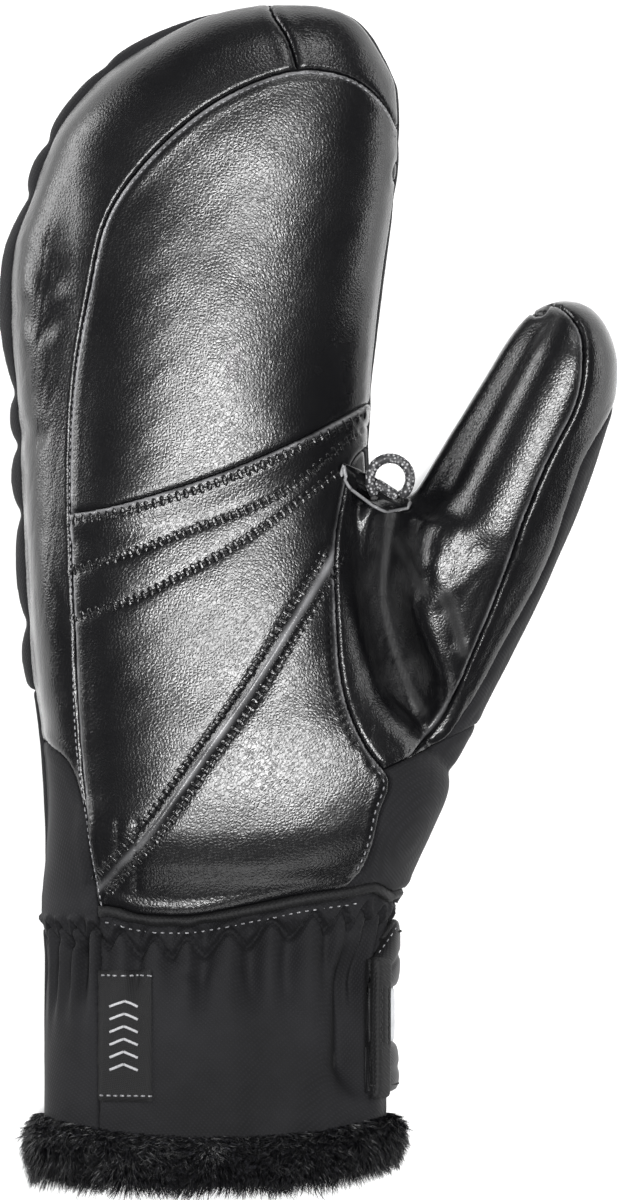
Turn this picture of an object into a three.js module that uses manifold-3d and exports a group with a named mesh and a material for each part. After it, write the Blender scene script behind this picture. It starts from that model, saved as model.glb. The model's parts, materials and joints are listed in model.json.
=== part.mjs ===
// Right-hand ski mitten in black leather and softshell, lying on its back with the palm up.
// Millimetres, +Z up from the surface that it lies on, +Y from the mouth to the fingertips, +X to the thumb.
// The hand is lofted first, from the wrist seam at Y = 0. The last lines move the origin below its middle.
import * as THREE from "three";
import Module from "manifold-3d";
import { mergeVertices } from "three/addons/utils/BufferGeometryUtils.js";

const wasm = await Module();
wasm.setup();

// Hand, cuff and fur
const HAND_LENGTH = 225;
const HAND_WIDTH = 99.5;
const HAND_DEPTH = 50;
const CUFF_LENGTH = 60;
const FUR_BELOW_HEM = 11.5;
const FUR_ABOVE_HEM = 5.5;
const FUR_PILE = 3.6;
const FUR_LOCK_DEPTH = 1.5;
const FUR_LOCKS = 56;
const FUR_TOP_RISE = 4.6;
const FUR_RIGHT_LIFT = 7;
const FUR_LEFT_LIFT = 2.5;

// Thumb
const THUMB_LENGTH = 126.75;
const THUMB_WIDTH = 39;
const THUMB_DEPTH = 36;
const THUMB_LEAN_DEG = 24.5;
const THUMB_ROOT_X = 43.5;
const THUMB_ROOT_Y = 34.4;

// Walls, seams and padding
const PALM_WALL = 3.2;
const BACK_WALL = 5;
const THUMB_WALL = 3.4;
const CUFF_WALL = 3;
const SEAM_GAP = 0.4;
const FACET_TOLERANCE = 0.12;
const FIT_GAP = 0.35;
const QUILT_RISE = 2.2;
const QUILT_LEAN = 0.6;
const GATHER_DEPTH = 1.1;
const GATHER_COUNT = 30;
const BINDING_WIDTH = 2.4;

// Wrist strap, label and pole loop
const STRAP_THICKNESS = 2.8;
const STRAP_TOP = 3.5;
const STRAP_HEIGHT = 42.5;
const REFLECTIVE_ABOVE = 16.5;
const REFLECTIVE_BELOW = 12;
const REFLECTIVE_THICKNESS = 0.8;
const STRAP_END_TOP = 12.5;
const STRAP_END_HEIGHT = 35;
const STRAP_END_THICKNESS = 1.2;
const LABEL_LEFT = -25.5;
const LABEL_TOP = 15.5;
const LABEL_WIDTH = 13.6;
const LABEL_HEIGHT = 32.5;
const LABEL_THICKNESS = 0.8;
const PATCH_THICKNESS = 1.4;
const LOOP_RADIUS = 5;
const LOOP_LEG = 2.1;
const LOOP_CORD_DIAMETER = 2.5;
const LOOP_CORE_DIAMETER = 1;
const SLEEVE_DIAMETER = 2.6;
const SLEEVE_SET_DOWN = 3;

// Lengthwise sections of the hand. at is a share of HAND_LENGTH above the wrist seam; left and right are
// shares of HAND_WIDTH from the hand's axis; back, seam and front are shares of HAND_DEPTH above the surface.
const HAND_SECTIONS = [
  { at: -0.03, left: 0.4, right: 0.475, back: 0.07, seam: 0.47, front: 0.93 },
  { at: 0.0, left: 0.4, right: 0.482, back: 0.06, seam: 0.47, front: 0.94 },
  { at: 0.028, left: 0.395, right: 0.525, back: 0.045, seam: 0.47, front: 0.98 },
  { at: 0.05, left: 0.389, right: 0.548, back: 0.03, seam: 0.47, front: 1.03 },
  { at: 0.09, left: 0.391, right: 0.588, back: 0.02, seam: 0.47, front: 1.07 },
  { at: 0.139, left: 0.397, right: 0.625, back: 0.02, seam: 0.47, front: 1.08 },
  { at: 0.183, left: 0.404, right: 0.58, back: 0.02, seam: 0.47, front: 1.08 },
  { at: 0.25, left: 0.42, right: 0.48, back: 0.02, seam: 0.465, front: 1.06 },
  { at: 0.339, left: 0.432, right: 0.44, back: 0.02, seam: 0.46, front: 1.04 },
  { at: 0.428, left: 0.442, right: 0.422, back: 0.02, seam: 0.46, front: 1.01 },
  { at: 0.517, left: 0.45, right: 0.417, back: 0.02, seam: 0.46, front: 0.99 },
  { at: 0.583, left: 0.462, right: 0.425, back: 0.025, seam: 0.46, front: 0.98 },
  { at: 0.65, left: 0.474, right: 0.442, back: 0.03, seam: 0.46, front: 0.96 },
  { at: 0.717, left: 0.469, right: 0.46, back: 0.035, seam: 0.47, front: 0.93 },
  { at: 0.783, left: 0.428, right: 0.48, back: 0.05, seam: 0.47, front: 0.9 },
  { at: 0.85, left: 0.37, right: 0.494, back: 0.09, seam: 0.48, front: 0.87 },
  { at: 0.905, left: 0.262, right: 0.49, back: 0.15, seam: 0.49, front: 0.83 },
  { at: 0.95, left: 0.14, right: 0.445, back: 0.23, seam: 0.5, front: 0.77 },
  { at: 0.978, left: 0.034, right: 0.402, back: 0.31, seam: 0.51, front: 0.7 },
  { at: 0.992, left: -0.055, right: 0.36, back: 0.38, seam: 0.52, front: 0.64 },
  { at: 1.0, left: -0.15, right: 0.3, back: 0.45, seam: 0.52, front: 0.58 },
];

// Sections of the cuff, at a share of CUFF_LENGTH below the wrist seam, otherwise as for the hand.
const CUFF_SECTIONS = [
  { at: -0.14, left: 0.392, right: 0.53, back: 0.05, seam: 0.47, front: 0.97 },
  { at: 0.0, left: 0.4, right: 0.482, back: 0.06, seam: 0.47, front: 0.94 },
  { at: 0.104, left: 0.397, right: 0.472, back: 0.08, seam: 0.48, front: 0.9 },
  { at: 0.229, left: 0.397, right: 0.468, back: 0.09, seam: 0.49, front: 0.91 },
  { at: 0.396, left: 0.397, right: 0.466, back: 0.1, seam: 0.5, front: 0.95 },
  { at: 0.6, left: 0.394, right: 0.466, back: 0.11, seam: 0.52, front: 0.99 },
  { at: 0.833, left: 0.39, right: 0.464, back: 0.105, seam: 0.53, front: 1.0 },
  { at: 1.0, left: 0.388, right: 0.46, back: 0.1, seam: 0.53, front: 0.99 },
];

// Sections of the thumb, at a share of THUMB_LENGTH from its root; left and right are shares of THUMB_WIDTH
// from its axis, middle is its axis's height as a share of HAND_DEPTH, depth a share of THUMB_DEPTH.
const THUMB_SECTIONS = [
  { at: 0.0, left: 0.2, right: 0.3, middle: 0.52, depth: 0.5 },
  { at: 0.08, left: 0.5, right: 0.46, middle: 0.53, depth: 0.76 },
  { at: 0.17, left: 0.68, right: 0.48, middle: 0.54, depth: 0.92 },
  { at: 0.306, left: 0.8, right: 0.5, middle: 0.57, depth: 1.0 },
  { at: 0.455, left: 0.84, right: 0.515, middle: 0.605, depth: 1.02 },
  { at: 0.49, left: 0.71, right: 0.513, middle: 0.615, depth: 1.02 },
  { at: 0.525, left: 0.5, right: 0.51, middle: 0.625, depth: 1.01 },
  { at: 0.6, left: 0.465, right: 0.505, middle: 0.64, depth: 0.99 },
  { at: 0.785, left: 0.395, right: 0.455, middle: 0.68, depth: 0.93 },
  { at: 0.876, left: 0.365, right: 0.4, middle: 0.695, depth: 0.86 },
  { at: 0.925, left: 0.325, right: 0.335, middle: 0.7, depth: 0.76 },
  { at: 0.962, left: 0.255, right: 0.24, middle: 0.705, depth: 0.6 },
  { at: 0.988, left: 0.16, right: 0.13, middle: 0.71, depth: 0.38 },
  { at: 1.0, left: 0.06, right: 0.035, middle: 0.71, depth: 0.16 },
];

// Padded rolls across the back, as shares of HAND_LENGTH, between stitched channels.
const QUILT_ROLLS = [
  { from: 0.239, to: 0.314, rise: 0.8 },
  { from: 0.314, to: 0.437, rise: 1.0 },
  { from: 0.437, to: 0.512, rise: 1.0 },
  { from: 0.512, to: 0.569, rise: 0.9 },
  { from: 0.569, to: 0.789, rise: 1.1 },
  { from: 0.789, to: 0.849, rise: 0.9 },
  { from: 0.849, to: 0.925, rise: 0.9 },
  { from: 0.925, to: 0.99, rise: 1.0 },
];

// Folds of the cuff's front: where they lie across and along it, and how deep and wide they are.
const CUFF_FOLDS = [
  { across: 0.37, width: 0.045, from: 0.15, to: 0.8, depth: 4.2 },
  { across: -0.1, width: 0.05, from: 0.0, to: 0.4, depth: 0.8 },
  { across: 0.12, width: 0.06, from: 0.1, to: 0.5, depth: 0.6 },
];

// The valley between thumb and palm, seen from the palm side, in the hand's shares, and its size.
const VALLEY = [[0.5, 0.47], [0.477, 0.42], [0.465, 0.34], [0.497, 0.283], [0.54, 0.225]];
const VALLEY_DEPTH = 8;
const VALLEY_WIDTH = 6.5;

// Seams of the hand, seen from the palm side: shares of HAND_WIDTH from the axis and of HAND_LENGTH.
const PALM_SEAM = [
  [0.56, 0.79], [0.505, 0.85], [0.465, 0.889], [0.382, 0.918], [0.264, 0.927], [0.138, 0.913],
  [0.0, 0.879], [-0.138, 0.824], [-0.234, 0.763], [-0.281, 0.683], [-0.322, 0.589], [-0.337, 0.483],
  [-0.332, 0.35], [-0.322, 0.194], [-0.291, 0.089], [-0.256, 0.0], [-0.256, -0.1], [-0.256, -0.34],
];
const TIP_SEAM = [[0.15, 1.04], [0.178, 0.994], [0.221, 0.961], [0.246, 0.924]];
const OVERLAY_SEAM = [
  [-0.36, 0.434], [-0.337, 0.436], [-0.226, 0.443], [-0.075, 0.461], [0.1, 0.488], [0.276, 0.523],
  [0.44, 0.563], [0.6, 0.605],
];
const THUMB_SEAM = [
  [0.5, 0.56], [0.432, 0.517], [0.382, 0.492], [0.357, 0.45], [0.342, 0.4], [0.344, 0.328],
  [0.352, 0.261], [0.379, 0.212], [0.422, 0.174], [0.475, 0.141],
];
const HEEL_SEAM = [[0.475, 0.141], [0.452, 0.106], [0.432, 0.067], [0.402, 0.037], [0.367, 0.023], [0.34, -0.02]];
const GUSSET_FOOT_SEAM = [[-0.6, 0.3], [-0.47, 0.23], [-0.4, 0.18], [-0.356, 0.159], [-0.314, 0.117], [-0.27, 0.09]];
const WRIST_SEAM = [
  [-0.6, 0.002], [-0.256, 0.002], [-0.15, -0.008], [-0.025, -0.01], [0.1, 0.0], [0.25, 0.013],
  [0.377, 0.021], [0.44, 0.026], [0.49, 0.014], [0.53, 0.022], [0.7, 0.022],
];
const BACK_THUMB_SEAM = [[0.5, 0.56], [0.45, 0.5], [0.475, 0.38], [0.49, 0.23], [0.495, 0.1], [0.49, -0.05]];
const BACK_YOKE_AT = 0.239;

// The crotch, in the thumb's shares. The leather patch's outline and the sleeve's middle are measured from it.
const CROTCH_ACROSS = -0.65;
const CROTCH_AT = 0.49;
const LOOP_PATCH = [
  [-10.8, 9.3], [-10, 5.25], [-7.5, 1.9], [-1.2, -2.2], [3.7, -3.1], [6.5, -0.15], [2.6, 1.65], [-3.4, 6.15],
];
const SLEEVE_FROM_CROTCH = [0.1, 2.55];
const SLEEVE_LENGTH = 6.4;
const SLEEVE_SLOPE_DEG = -33;

// Thickness of the strap's folded edges, by the share of the way down to the pale band.
const STRAP_FOLDS = [
  { down: 0.0, thick: 0.45 },
  { down: 0.07, thick: 0.92 },
  { down: 0.5, thick: 1.04 },
  { down: 0.92, thick: 0.96 },
  { down: 1.0, thick: 0.5 },
];

// Angles round the cuff, from its right edge over the front, of the strap and of its upright end.
const STRAP_ANGLES = [-70, 36];
const STRAP_END_ANGLES = [21, 35];

// Seams of the thumb: shares of THUMB_WIDTH from its axis and of THUMB_LENGTH from its root.
const THUMB_FRONT_SEAM = [
  [-0.6, 0.92], [-0.287, 0.945], [-0.2, 0.979], [-0.062, 0.97], [0.064, 0.938], [0.173, 0.864], [0.21, 0.8],
  [0.197, 0.73], [0.193, 0.665], [0.206, 0.571], [0.249, 0.428], [0.27, 0.262], [0.263, 0.181],
  [0.21, 0.095], [0.136, 0.006],
];
const THUMB_SIDE_SEAM = [
  [0.7, 0.93], [0.444, 0.88], [0.425, 0.81], [0.4, 0.73], [0.41, 0.661], [0.455, 0.528], [0.452, 0.433],
  [0.424, 0.334], [0.404, 0.227], [0.368, 0.152], [0.314, 0.08], [0.271, 0.009], [0.274, -0.055], [0.28, -0.2],
];
const THUMB_FOOT_ACROSS = [0.7, 0.24];
const THUMB_FOOT_AT = [0.24, 0.075];

const LEATHER = { color: 0x0d0d0e, roughness: 0.38, metalness: 0 };
const SOFTSHELL = { color: 0x232326, roughness: 0.85, metalness: 0 };
const FUR = { color: 0x0b0b0c, roughness: 0.9, metalness: 0 };
const WEBBING = { color: 0x1c1c1e, roughness: 0.8, metalness: 0 };
const REFLECTIVE = { color: 0x8d8f92, roughness: 0.5, metalness: 0 };
const LABEL = { color: 0x202022, roughness: 0.75, metalness: 0 };
const CORD = { color: 0x5a5a5c, roughness: 0.7, metalness: 0 };

// Tables

// One column of a table as a smooth function of at, with no overshoot between rows.
function column(rows, name) {
  const x = rows.map((row) => row.at);
  const y = rows.map((row) => row[name]);
  const slope = y.slice(1).map((v, i) => (v - y[i]) / (x[i + 1] - x[i]));
  const tangent = y.map((v, i) => {
    if (i === 0) return slope[0];
    if (i === y.length - 1) return slope[i - 1];
    if (slope[i - 1] * slope[i] <= 0) return 0;
    return (2 * slope[i - 1] * slope[i]) / (slope[i - 1] + slope[i]);
  });
  return (at) => {
    const t = THREE.MathUtils.clamp(at, x[0], x[x.length - 1]);
    let i = 0;
    while (i < x.length - 2 && t > x[i + 1]) i++;
    const h = x[i + 1] - x[i];
    const s = (t - x[i]) / h;
    return (
      y[i] * (1 + 2 * s) * (1 - s) ** 2 +
      h * tangent[i] * s * (1 - s) ** 2 +
      y[i + 1] * s * s * (3 - 2 * s) +
      h * tangent[i + 1] * s * s * (s - 1)
    );
  };
}

function columns(rows, ...names) {
  return Object.fromEntries(names.map((name) => [name, column(rows, name)]));
}

const hand = columns(HAND_SECTIONS, "left", "right", "back", "seam", "front");
const cuff = columns(CUFF_SECTIONS, "left", "right", "back", "seam", "front");
const thumb = columns(THUMB_SECTIONS, "left", "right", "middle", "depth");

// Extent of the hand or, below the wrist seam, of the cuff, at a height y.
function bodyAt(y) {
  const [table, at] = y >= 0 ? [hand, y / HAND_LENGTH] : [cuff, -y / CUFF_LENGTH];
  return {
    left: -table.left(at) * HAND_WIDTH,
    right: table.right(at) * HAND_WIDTH,
    back: table.back(at) * HAND_DEPTH,
    seam: table.seam(at) * HAND_DEPTH,
    front: table.front(at) * HAND_DEPTH,
  };
}

// Padding of the back at a height y: 0 in a stitched channel, 1 in the middle of a roll.
function quiltAt(y) {
  const at = y / HAND_LENGTH;
  const roll = QUILT_ROLLS.find((r) => at >= r.from && at <= r.to);
  if (!roll) return 0;
  const t = (2 * (at - roll.from)) / (roll.to - roll.from) - 1;
  return roll.rise * Math.sqrt(Math.max(0, 1 - t * t));
}

// Sections

function handPlan(across, at) {
  return new THREE.Vector2(across * HAND_WIDTH, at * HAND_LENGTH);
}

const FRONT_SQUARENESS = 2.25;
const BACK_SQUARENESS = 2.7;

function power(v, p) {
  return Math.sign(v) * Math.abs(v) ** p;
}

function evenly(out) {
  return { side: out, front: out, back: out };
}

// A point of the hand's section at a height y. The angle runs from the thumb side over the palm.
function bodyPoint(y, angle, grow) {
  const s = bodyAt(y);
  const up = Math.sin(angle);
  const squareness = up >= 0 ? FRONT_SQUARENESS : BACK_SQUARENESS;
  const halfWidth = (s.right - s.left) / 2 + grow.side;
  const height = up >= 0 ? s.front - s.seam + grow.front : s.seam - s.back + grow.back;
  return new THREE.Vector3(
    (s.right + s.left) / 2 + Math.max(halfWidth, 1) * power(Math.cos(angle), 2 / squareness),
    y,
    s.seam + Math.max(height, 1) * power(up, 2 / squareness),
  );
}

// Outside of the hand, with the rolls of the back.
function handSkin(y, angle) {
  const under = THREE.MathUtils.smoothstep(-Math.sin(angle), -0.05, 0.12);
  const rise = QUILT_RISE * quiltAt(y) * under;
  const point = bodyPoint(y, angle, { side: rise, front: 0, back: rise });
  point.x -= rise * QUILT_LEAN;
  return point;
}

// Outside of the cuff, gathered below the wrist seam and folded in front.
function cuffSkin(y, angle) {
  const at = -y / CUFF_LENGTH;
  const fade = THREE.MathUtils.smoothstep(at, 0.04, 0.14) * (1 - THREE.MathUtils.smoothstep(at, 0.18, 0.4));
  const gather = GATHER_DEPTH * fade * (Math.cos(angle * GATHER_COUNT) - 1);
  const across = bodyPoint(y, angle, evenly(0)).x / HAND_WIDTH;
  const dent = Math.sin(angle) <= 0 ? 0 : CUFF_FOLDS.reduce((sum, fold) => {
    const along = THREE.MathUtils.smoothstep(at, fold.from, fold.from + 0.2) *
      (1 - THREE.MathUtils.smoothstep(at, fold.to - 0.2, fold.to));
    return sum + fold.depth * along * Math.exp(-(((across - fold.across) / fold.width) ** 2));
  }, 0);
  return bodyPoint(y, angle, evenly(gather - dent));
}

const THUMB_AXIS = new THREE.Vector2(
  Math.sin(THREE.MathUtils.degToRad(THUMB_LEAN_DEG)),
  Math.cos(THREE.MathUtils.degToRad(THUMB_LEAN_DEG)),
);
const THUMB_OUT = new THREE.Vector2(THUMB_AXIS.y, -THUMB_AXIS.x);

// A point in plan from the thumb's own shares: across its width and along its length.
function thumbPlan(across, at) {
  return new THREE.Vector2(THUMB_ROOT_X, THUMB_ROOT_Y)
    .addScaledVector(THUMB_AXIS, at * THUMB_LENGTH)
    .addScaledVector(THUMB_OUT, across * THUMB_WIDTH);
}

const valley = new THREE.SplineCurve(VALLEY.map(([across, at]) => handPlan(across, at))).getPoints(24);

// Depth of the valley at a point in plan.
function valleyAt(plan) {
  const away = Math.min(...valley.map((p) => p.distanceTo(plan)));
  return VALLEY_DEPTH * Math.exp(-((away / VALLEY_WIDTH) ** 2));
}

// A point of the thumb's section. The angle runs from its outer side over its front.
function thumbPoint(at, angle, grow) {
  const halfWidth = Math.max(((thumb.left(at) + thumb.right(at)) / 2) * THUMB_WIDTH + grow, 0.8);
  const middle = ((thumb.right(at) - thumb.left(at)) / 2) * THUMB_WIDTH;
  const halfDepth = Math.max((thumb.depth(at) * THUMB_DEPTH) / 2 + grow, 0.8);
  const plan = thumbPlan((middle + halfWidth * power(Math.cos(angle), 0.92)) / THUMB_WIDTH, at);
  const up = power(Math.sin(angle), 0.92);
  const dent = up > 0 ? valleyAt(plan) * up : 0;
  return new THREE.Vector3(plan.x, plan.y, thumb.middle(at) * HAND_DEPTH + halfDepth * up - dent);
}

// Solids

// The manifold solid of any closed three.js geometry.
function solidOf(geometry) {
  const bare = geometry.clone();
  bare.deleteAttribute("normal");
  bare.deleteAttribute("uv");
  const merged = mergeVertices(bare, 1e-4);
  return new wasm.Manifold(
    new wasm.Mesh({
      numProp: 3,
      vertProperties: merged.attributes.position.array,
      triVerts: new Uint32Array(merged.index.array),
    }),
  );
}

// A closed solid through rings of points. Rings that close on the first ring make a torus. A thin ring, out
// along one face and back along the other, gets ends that run across it.
function ringsSolid(rings, joinEnds = false, thin = false) {
  const around = rings[0].length;
  const positions = rings.flat().flatMap((p) => [p.x, p.y, p.z]);
  const index = [];
  const last = joinEnds ? rings.length : rings.length - 1;
  for (let i = 0; i < last; i++) {
    const next = (i + 1) % rings.length;
    for (let j = 0; j < around; j++) {
      const k = (j + 1) % around;
      index.push(i * around + j, next * around + k, next * around + j);
      index.push(i * around + j, i * around + k, next * around + k);
    }
  }
  const ends = joinEnds ? [] : [[0, false], [rings.length - 1, true]];
  if (thin) {
    for (const [ring, flip] of ends) {
      for (let j = 0; j < around / 2 - 1; j++) {
        const [a, b, c, d] = [j, j + 1, around - 2 - j, around - 1 - j].map((k) => ring * around + k);
        index.push(...(flip ? [a, b, c, a, c, d] : [a, c, b, a, d, c]));
      }
    }
  } else {
    for (const [ring, flip] of ends) {
      const centre = new THREE.Vector3();
      rings[ring].forEach((p) => centre.addScaledVector(p, 1 / around));
      const middle = positions.length / 3;
      positions.push(centre.x, centre.y, centre.z);
      for (let j = 0; j < around; j++) {
        const [a, b] = [ring * around + j, ring * around + ((j + 1) % around)];
        index.push(middle, ...(flip ? [a, b] : [b, a]));
      }
    }
  }
  const geometry = new THREE.BufferGeometry();
  geometry.setAttribute("position", new THREE.Float32BufferAttribute(positions, 3));
  geometry.setIndex(index);
  const solid = solidOf(geometry);
  if (solid.volume() > 0) return solid;
  for (let t = 0; t < index.length; t += 3) [index[t + 1], index[t + 2]] = [index[t + 2], index[t + 1]];
  geometry.setIndex(index);
  return solidOf(geometry);
}

// A loft along stations, each a full turn of point(station, angle).
function loft(stations, around, point) {
  return ringsSolid(
    stations.map((s) => Array.from({ length: around }, (_, j) => point(s, (2 * Math.PI * j) / around))),
  );
}

// A thick patch over two ranges: inner and outer points of a surface, joined round the edge.
function patch(us, vs, inner, outer) {
  return ringsSolid(
    us.map((u) => [...vs.map((v) => outer(u, v)), ...vs.slice().reverse().map((v) => inner(u, v))]),
    false,
    true,
  );
}

function steps(from, to, count) {
  return Array.from({ length: count + 1 }, (_, i) => from + ((to - from) * i) / count);
}

// An upright prism over a closed outline in plan.
function prism(outline, bottom = -0.4 * HAND_DEPTH, top = 2.4 * HAND_DEPTH) {
  const shape = new THREE.Shape(outline.map((p) => new THREE.Vector2(p.x, p.y)));
  const geometry = new THREE.ExtrudeGeometry(shape, { depth: top - bottom, bevelEnabled: false });
  return solidOf(geometry.translate(0, 0, bottom));
}

// Everything below a line of heights over Y, as wide as the model in X.
function below(heightAt, lift) {
  const top = steps(-2 * CUFF_LENGTH, 1.2 * HAND_LENGTH, 30).map((y) => new THREE.Vector2(y, heightAt(y) + lift));
  const shape = new THREE.Shape([
    ...top,
    new THREE.Vector2(1.2 * HAND_LENGTH, -1.2 * HAND_DEPTH),
    new THREE.Vector2(-2 * CUFF_LENGTH, -1.2 * HAND_DEPTH),
  ]);
  const geometry = new THREE.ExtrudeGeometry(shape, { depth: 4 * HAND_WIDTH, bevelEnabled: false });
  const turned = new THREE.Matrix4().makeBasis(
    new THREE.Vector3(0, 1, 0), new THREE.Vector3(0, 0, 1), new THREE.Vector3(1, 0, 0),
  );
  return solidOf(geometry.applyMatrix4(turned).translate(-2 * HAND_WIDTH, 0, 0));
}

// Seams in plan

// A smooth line in plan through a seam's shares.
function seamLine(shares, toPlan, spacing = 7) {
  const curve = new THREE.SplineCurve(shares.map(([across, at]) => toPlan(across, at)));
  return curve.getSpacedPoints(Math.max(6, Math.round(curve.getLength() / spacing)));
}

// A line moved sideways, to its right when the offset is positive.
function offsetLine(line, offset) {
  return line.map((p, i) => {
    const ahead = line[Math.min(i + 1, line.length - 1)];
    const behind = line[Math.max(i - 1, 0)];
    const along = new THREE.Vector2().subVectors(ahead, behind).normalize();
    return new THREE.Vector2(p.x + along.y * offset, p.y - along.x * offset);
  });
}

// The thin upright blade that opens a seam's gap along a line.
function blade(line) {
  return prism([...offsetLine(line, -SEAM_GAP / 2), ...offsetLine(line, SEAM_GAP / 2).reverse()]);
}

const palmSeam = seamLine(PALM_SEAM, handPlan);
const tipSeam = seamLine(TIP_SEAM, handPlan);
const overlaySeam = seamLine(OVERLAY_SEAM, handPlan);
const thumbSeam = seamLine(THUMB_SEAM, handPlan);
const heelSeam = seamLine(HEEL_SEAM, handPlan);
const gussetFootSeam = seamLine(GUSSET_FOOT_SEAM, handPlan);
const wristSeam = seamLine(WRIST_SEAM, handPlan);
const backThumbSeam = seamLine(BACK_THUMB_SEAM, handPlan);
const thumbFrontSeam = seamLine(THUMB_FRONT_SEAM, thumbPlan);
const thumbSideSeam = seamLine(THUMB_SIDE_SEAM, thumbPlan);
const thumbFootSeam = THUMB_FOOT_AT.map((at, i) => thumbPlan(THUMB_FOOT_ACROSS[i], at));

const FAR = 2 * HAND_WIDTH + THUMB_LENGTH;

function corner(x, y) {
  return new THREE.Vector2(x, y);
}

// Outer and inner forms

const tipStations = [0.996, 1].map((at) => at * HAND_LENGTH);
const rollStations = QUILT_ROLLS.flatMap((roll) =>
  [0, 0.13, 0.5, 0.87].map((t) => (roll.from + t * (roll.to - roll.from)) * HAND_LENGTH),
);
const rollEnd = QUILT_ROLLS[QUILT_ROLLS.length - 1].to * HAND_LENGTH;
const wristStations = [-0.02, 0, 0.05, 0.1, 0.15, 0.2].map((at) => at * HAND_LENGTH);
const handStations = [...wristStations, ...rollStations, rollEnd, ...tipStations];

const HAND_FACETS = 36;
const THUMB_FACETS = 24;
const handOuter = loft(handStations, HAND_FACETS, handSkin);
const thumbStations = [...steps(0, 0.876, 13), 0.905, 0.93, 0.952, 0.97, 0.985, 0.995, 1];
const thumbOuter = loft(thumbStations, THUMB_FACETS, (at, angle) => thumbPoint(at, angle, 0));

const handInner = loft(
  [-0.04, ...steps(0, 0.94, 12), 0.97, 0.985].map((at) => at * HAND_LENGTH),
  24,
  (y, angle) => bodyPoint(y, angle, { side: -PALM_WALL, front: -PALM_WALL, back: -BACK_WALL }),
);
const thumbInner = loft(
  [...steps(0.02, 0.9, 8), 0.94, 1 - THUMB_WALL / THUMB_LENGTH],
  16,
  (at, angle) => thumbPoint(at, angle, -THUMB_WALL),
);

const cuffStations = [-0.14, 0, 0.09, 0.18, 0.3, 0.46, 0.7, 1].map((at) => -at * CUFF_LENGTH);
const cuffOuter = loft(cuffStations, 3 * GATHER_COUNT, (y, angle) => cuffSkin(y, angle));
const dentRoom = loft(
  [-0.2, 0.5, 1.1].map((at) => -at * CUFF_LENGTH),
  32,
  (y, angle) => bodyPoint(y, angle, { side: -CUFF_WALL * 2.6, front: -CUFF_WALL * 2.6, back: -CUFF_WALL }),
);

const handShell = handOuter.add(thumbOuter).subtract(handInner.add(thumbInner)).trimByPlane([0, 0, 1], 0);
const cuffShell = cuffOuter.subtract(dentRoom).trimByPlane([0, 0, 1], 0);

// Panels

const seamHeight = (y) => bodyAt(y).seam;
const thumbSeamHeight = (y) => {
  const at = (y - THUMB_ROOT_Y) / (THUMB_LENGTH * THUMB_AXIS.y);
  return thumb.middle(THREE.MathUtils.clamp(at, 0, 1)) * HAND_DEPTH - 0.1 * THUMB_DEPTH;
};
const lowerHalf = below(seamHeight, 0);
const seamSlab = below(seamHeight, SEAM_GAP / 2).subtract(below(seamHeight, -SEAM_GAP / 2));
const thumbLower = below(thumbSeamHeight, 0);
const thumbSlab = below(thumbSeamHeight, SEAM_GAP / 2).subtract(below(thumbSeamHeight, -SEAM_GAP / 2));

const rightOfThumbSeam = prism([
  ...thumbSeam, ...heelSeam.slice(1), corner(FAR, -FAR), corner(FAR, FAR), corner(thumbSeam[0].x, FAR),
]);
const rightOfBackSeam = prism([
  ...backThumbSeam, corner(FAR, -FAR), corner(FAR, FAR), corner(backThumbSeam[0].x, FAR),
]);
const insidePalmSeam = prism([
  ...palmSeam, corner(palmSeam[palmSeam.length - 1].x, -FAR), corner(FAR, -FAR), corner(FAR, palmSeam[0].y),
]);
const rightOfTipSeam = prism([...tipSeam, corner(tipSeam[tipSeam.length - 1].x, 0), corner(FAR, 0), corner(FAR, FAR),
  corner(tipSeam[0].x, FAR)]);
const belowOverlay = prism([...overlaySeam, corner(FAR, -FAR), corner(-FAR, -FAR)]);
const belowGussetFoot = prism([...gussetFootSeam, corner(FAR, -FAR), corner(-FAR, -FAR)]);
const belowWrist = prism([...offsetLine(wristSeam, SEAM_GAP / 2), corner(FAR, -FAR), corner(-FAR, -FAR)]);
const belowBinding = prism([
  ...offsetLine(wristSeam, BINDING_WIDTH + SEAM_GAP), corner(FAR, -FAR), corner(-FAR, -FAR),
]);
const bindingBelow = prism([...offsetLine(wristSeam, BINDING_WIDTH), corner(FAR, -FAR), corner(-FAR, -FAR)]);
const aboveWrist = prism([...offsetLine(wristSeam, -SEAM_GAP / 2), corner(FAR, FAR), corner(-FAR, FAR)]);
const belowYoke = prism([
  corner(-FAR, BACK_YOKE_AT * HAND_LENGTH), corner(FAR, BACK_YOKE_AT * HAND_LENGTH), corner(FAR, -FAR),
  corner(-FAR, -FAR),
]);
const rightOfFrontSeam = prism([...thumbFrontSeam, corner(0, -FAR), corner(FAR, -FAR), corner(FAR, FAR),
  corner(thumbFrontSeam[0].x, FAR)]);
const rightOfSideSeam = prism([...thumbSideSeam, corner(FAR, -FAR), corner(FAR, FAR)]);
const belowThumbFoot = prism([...thumbFootSeam.slice().reverse(), corner(FAR, thumbFootSeam[0].y), corner(FAR, -FAR),
  corner(-FAR, -FAR), corner(-FAR, thumbFootSeam[1].y)]);

// The largest body of a solid: a cut can leave crumbs at the edge of a neighbour.
function largest(solid) {
  return solid.decompose().reduce((best, body) => (body.volume() > best.volume() ? body : best));
}

function without(solid, ...cutters) {
  return cutters.reduce((rest, cutter) => rest.subtract(cutter), solid);
}

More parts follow.
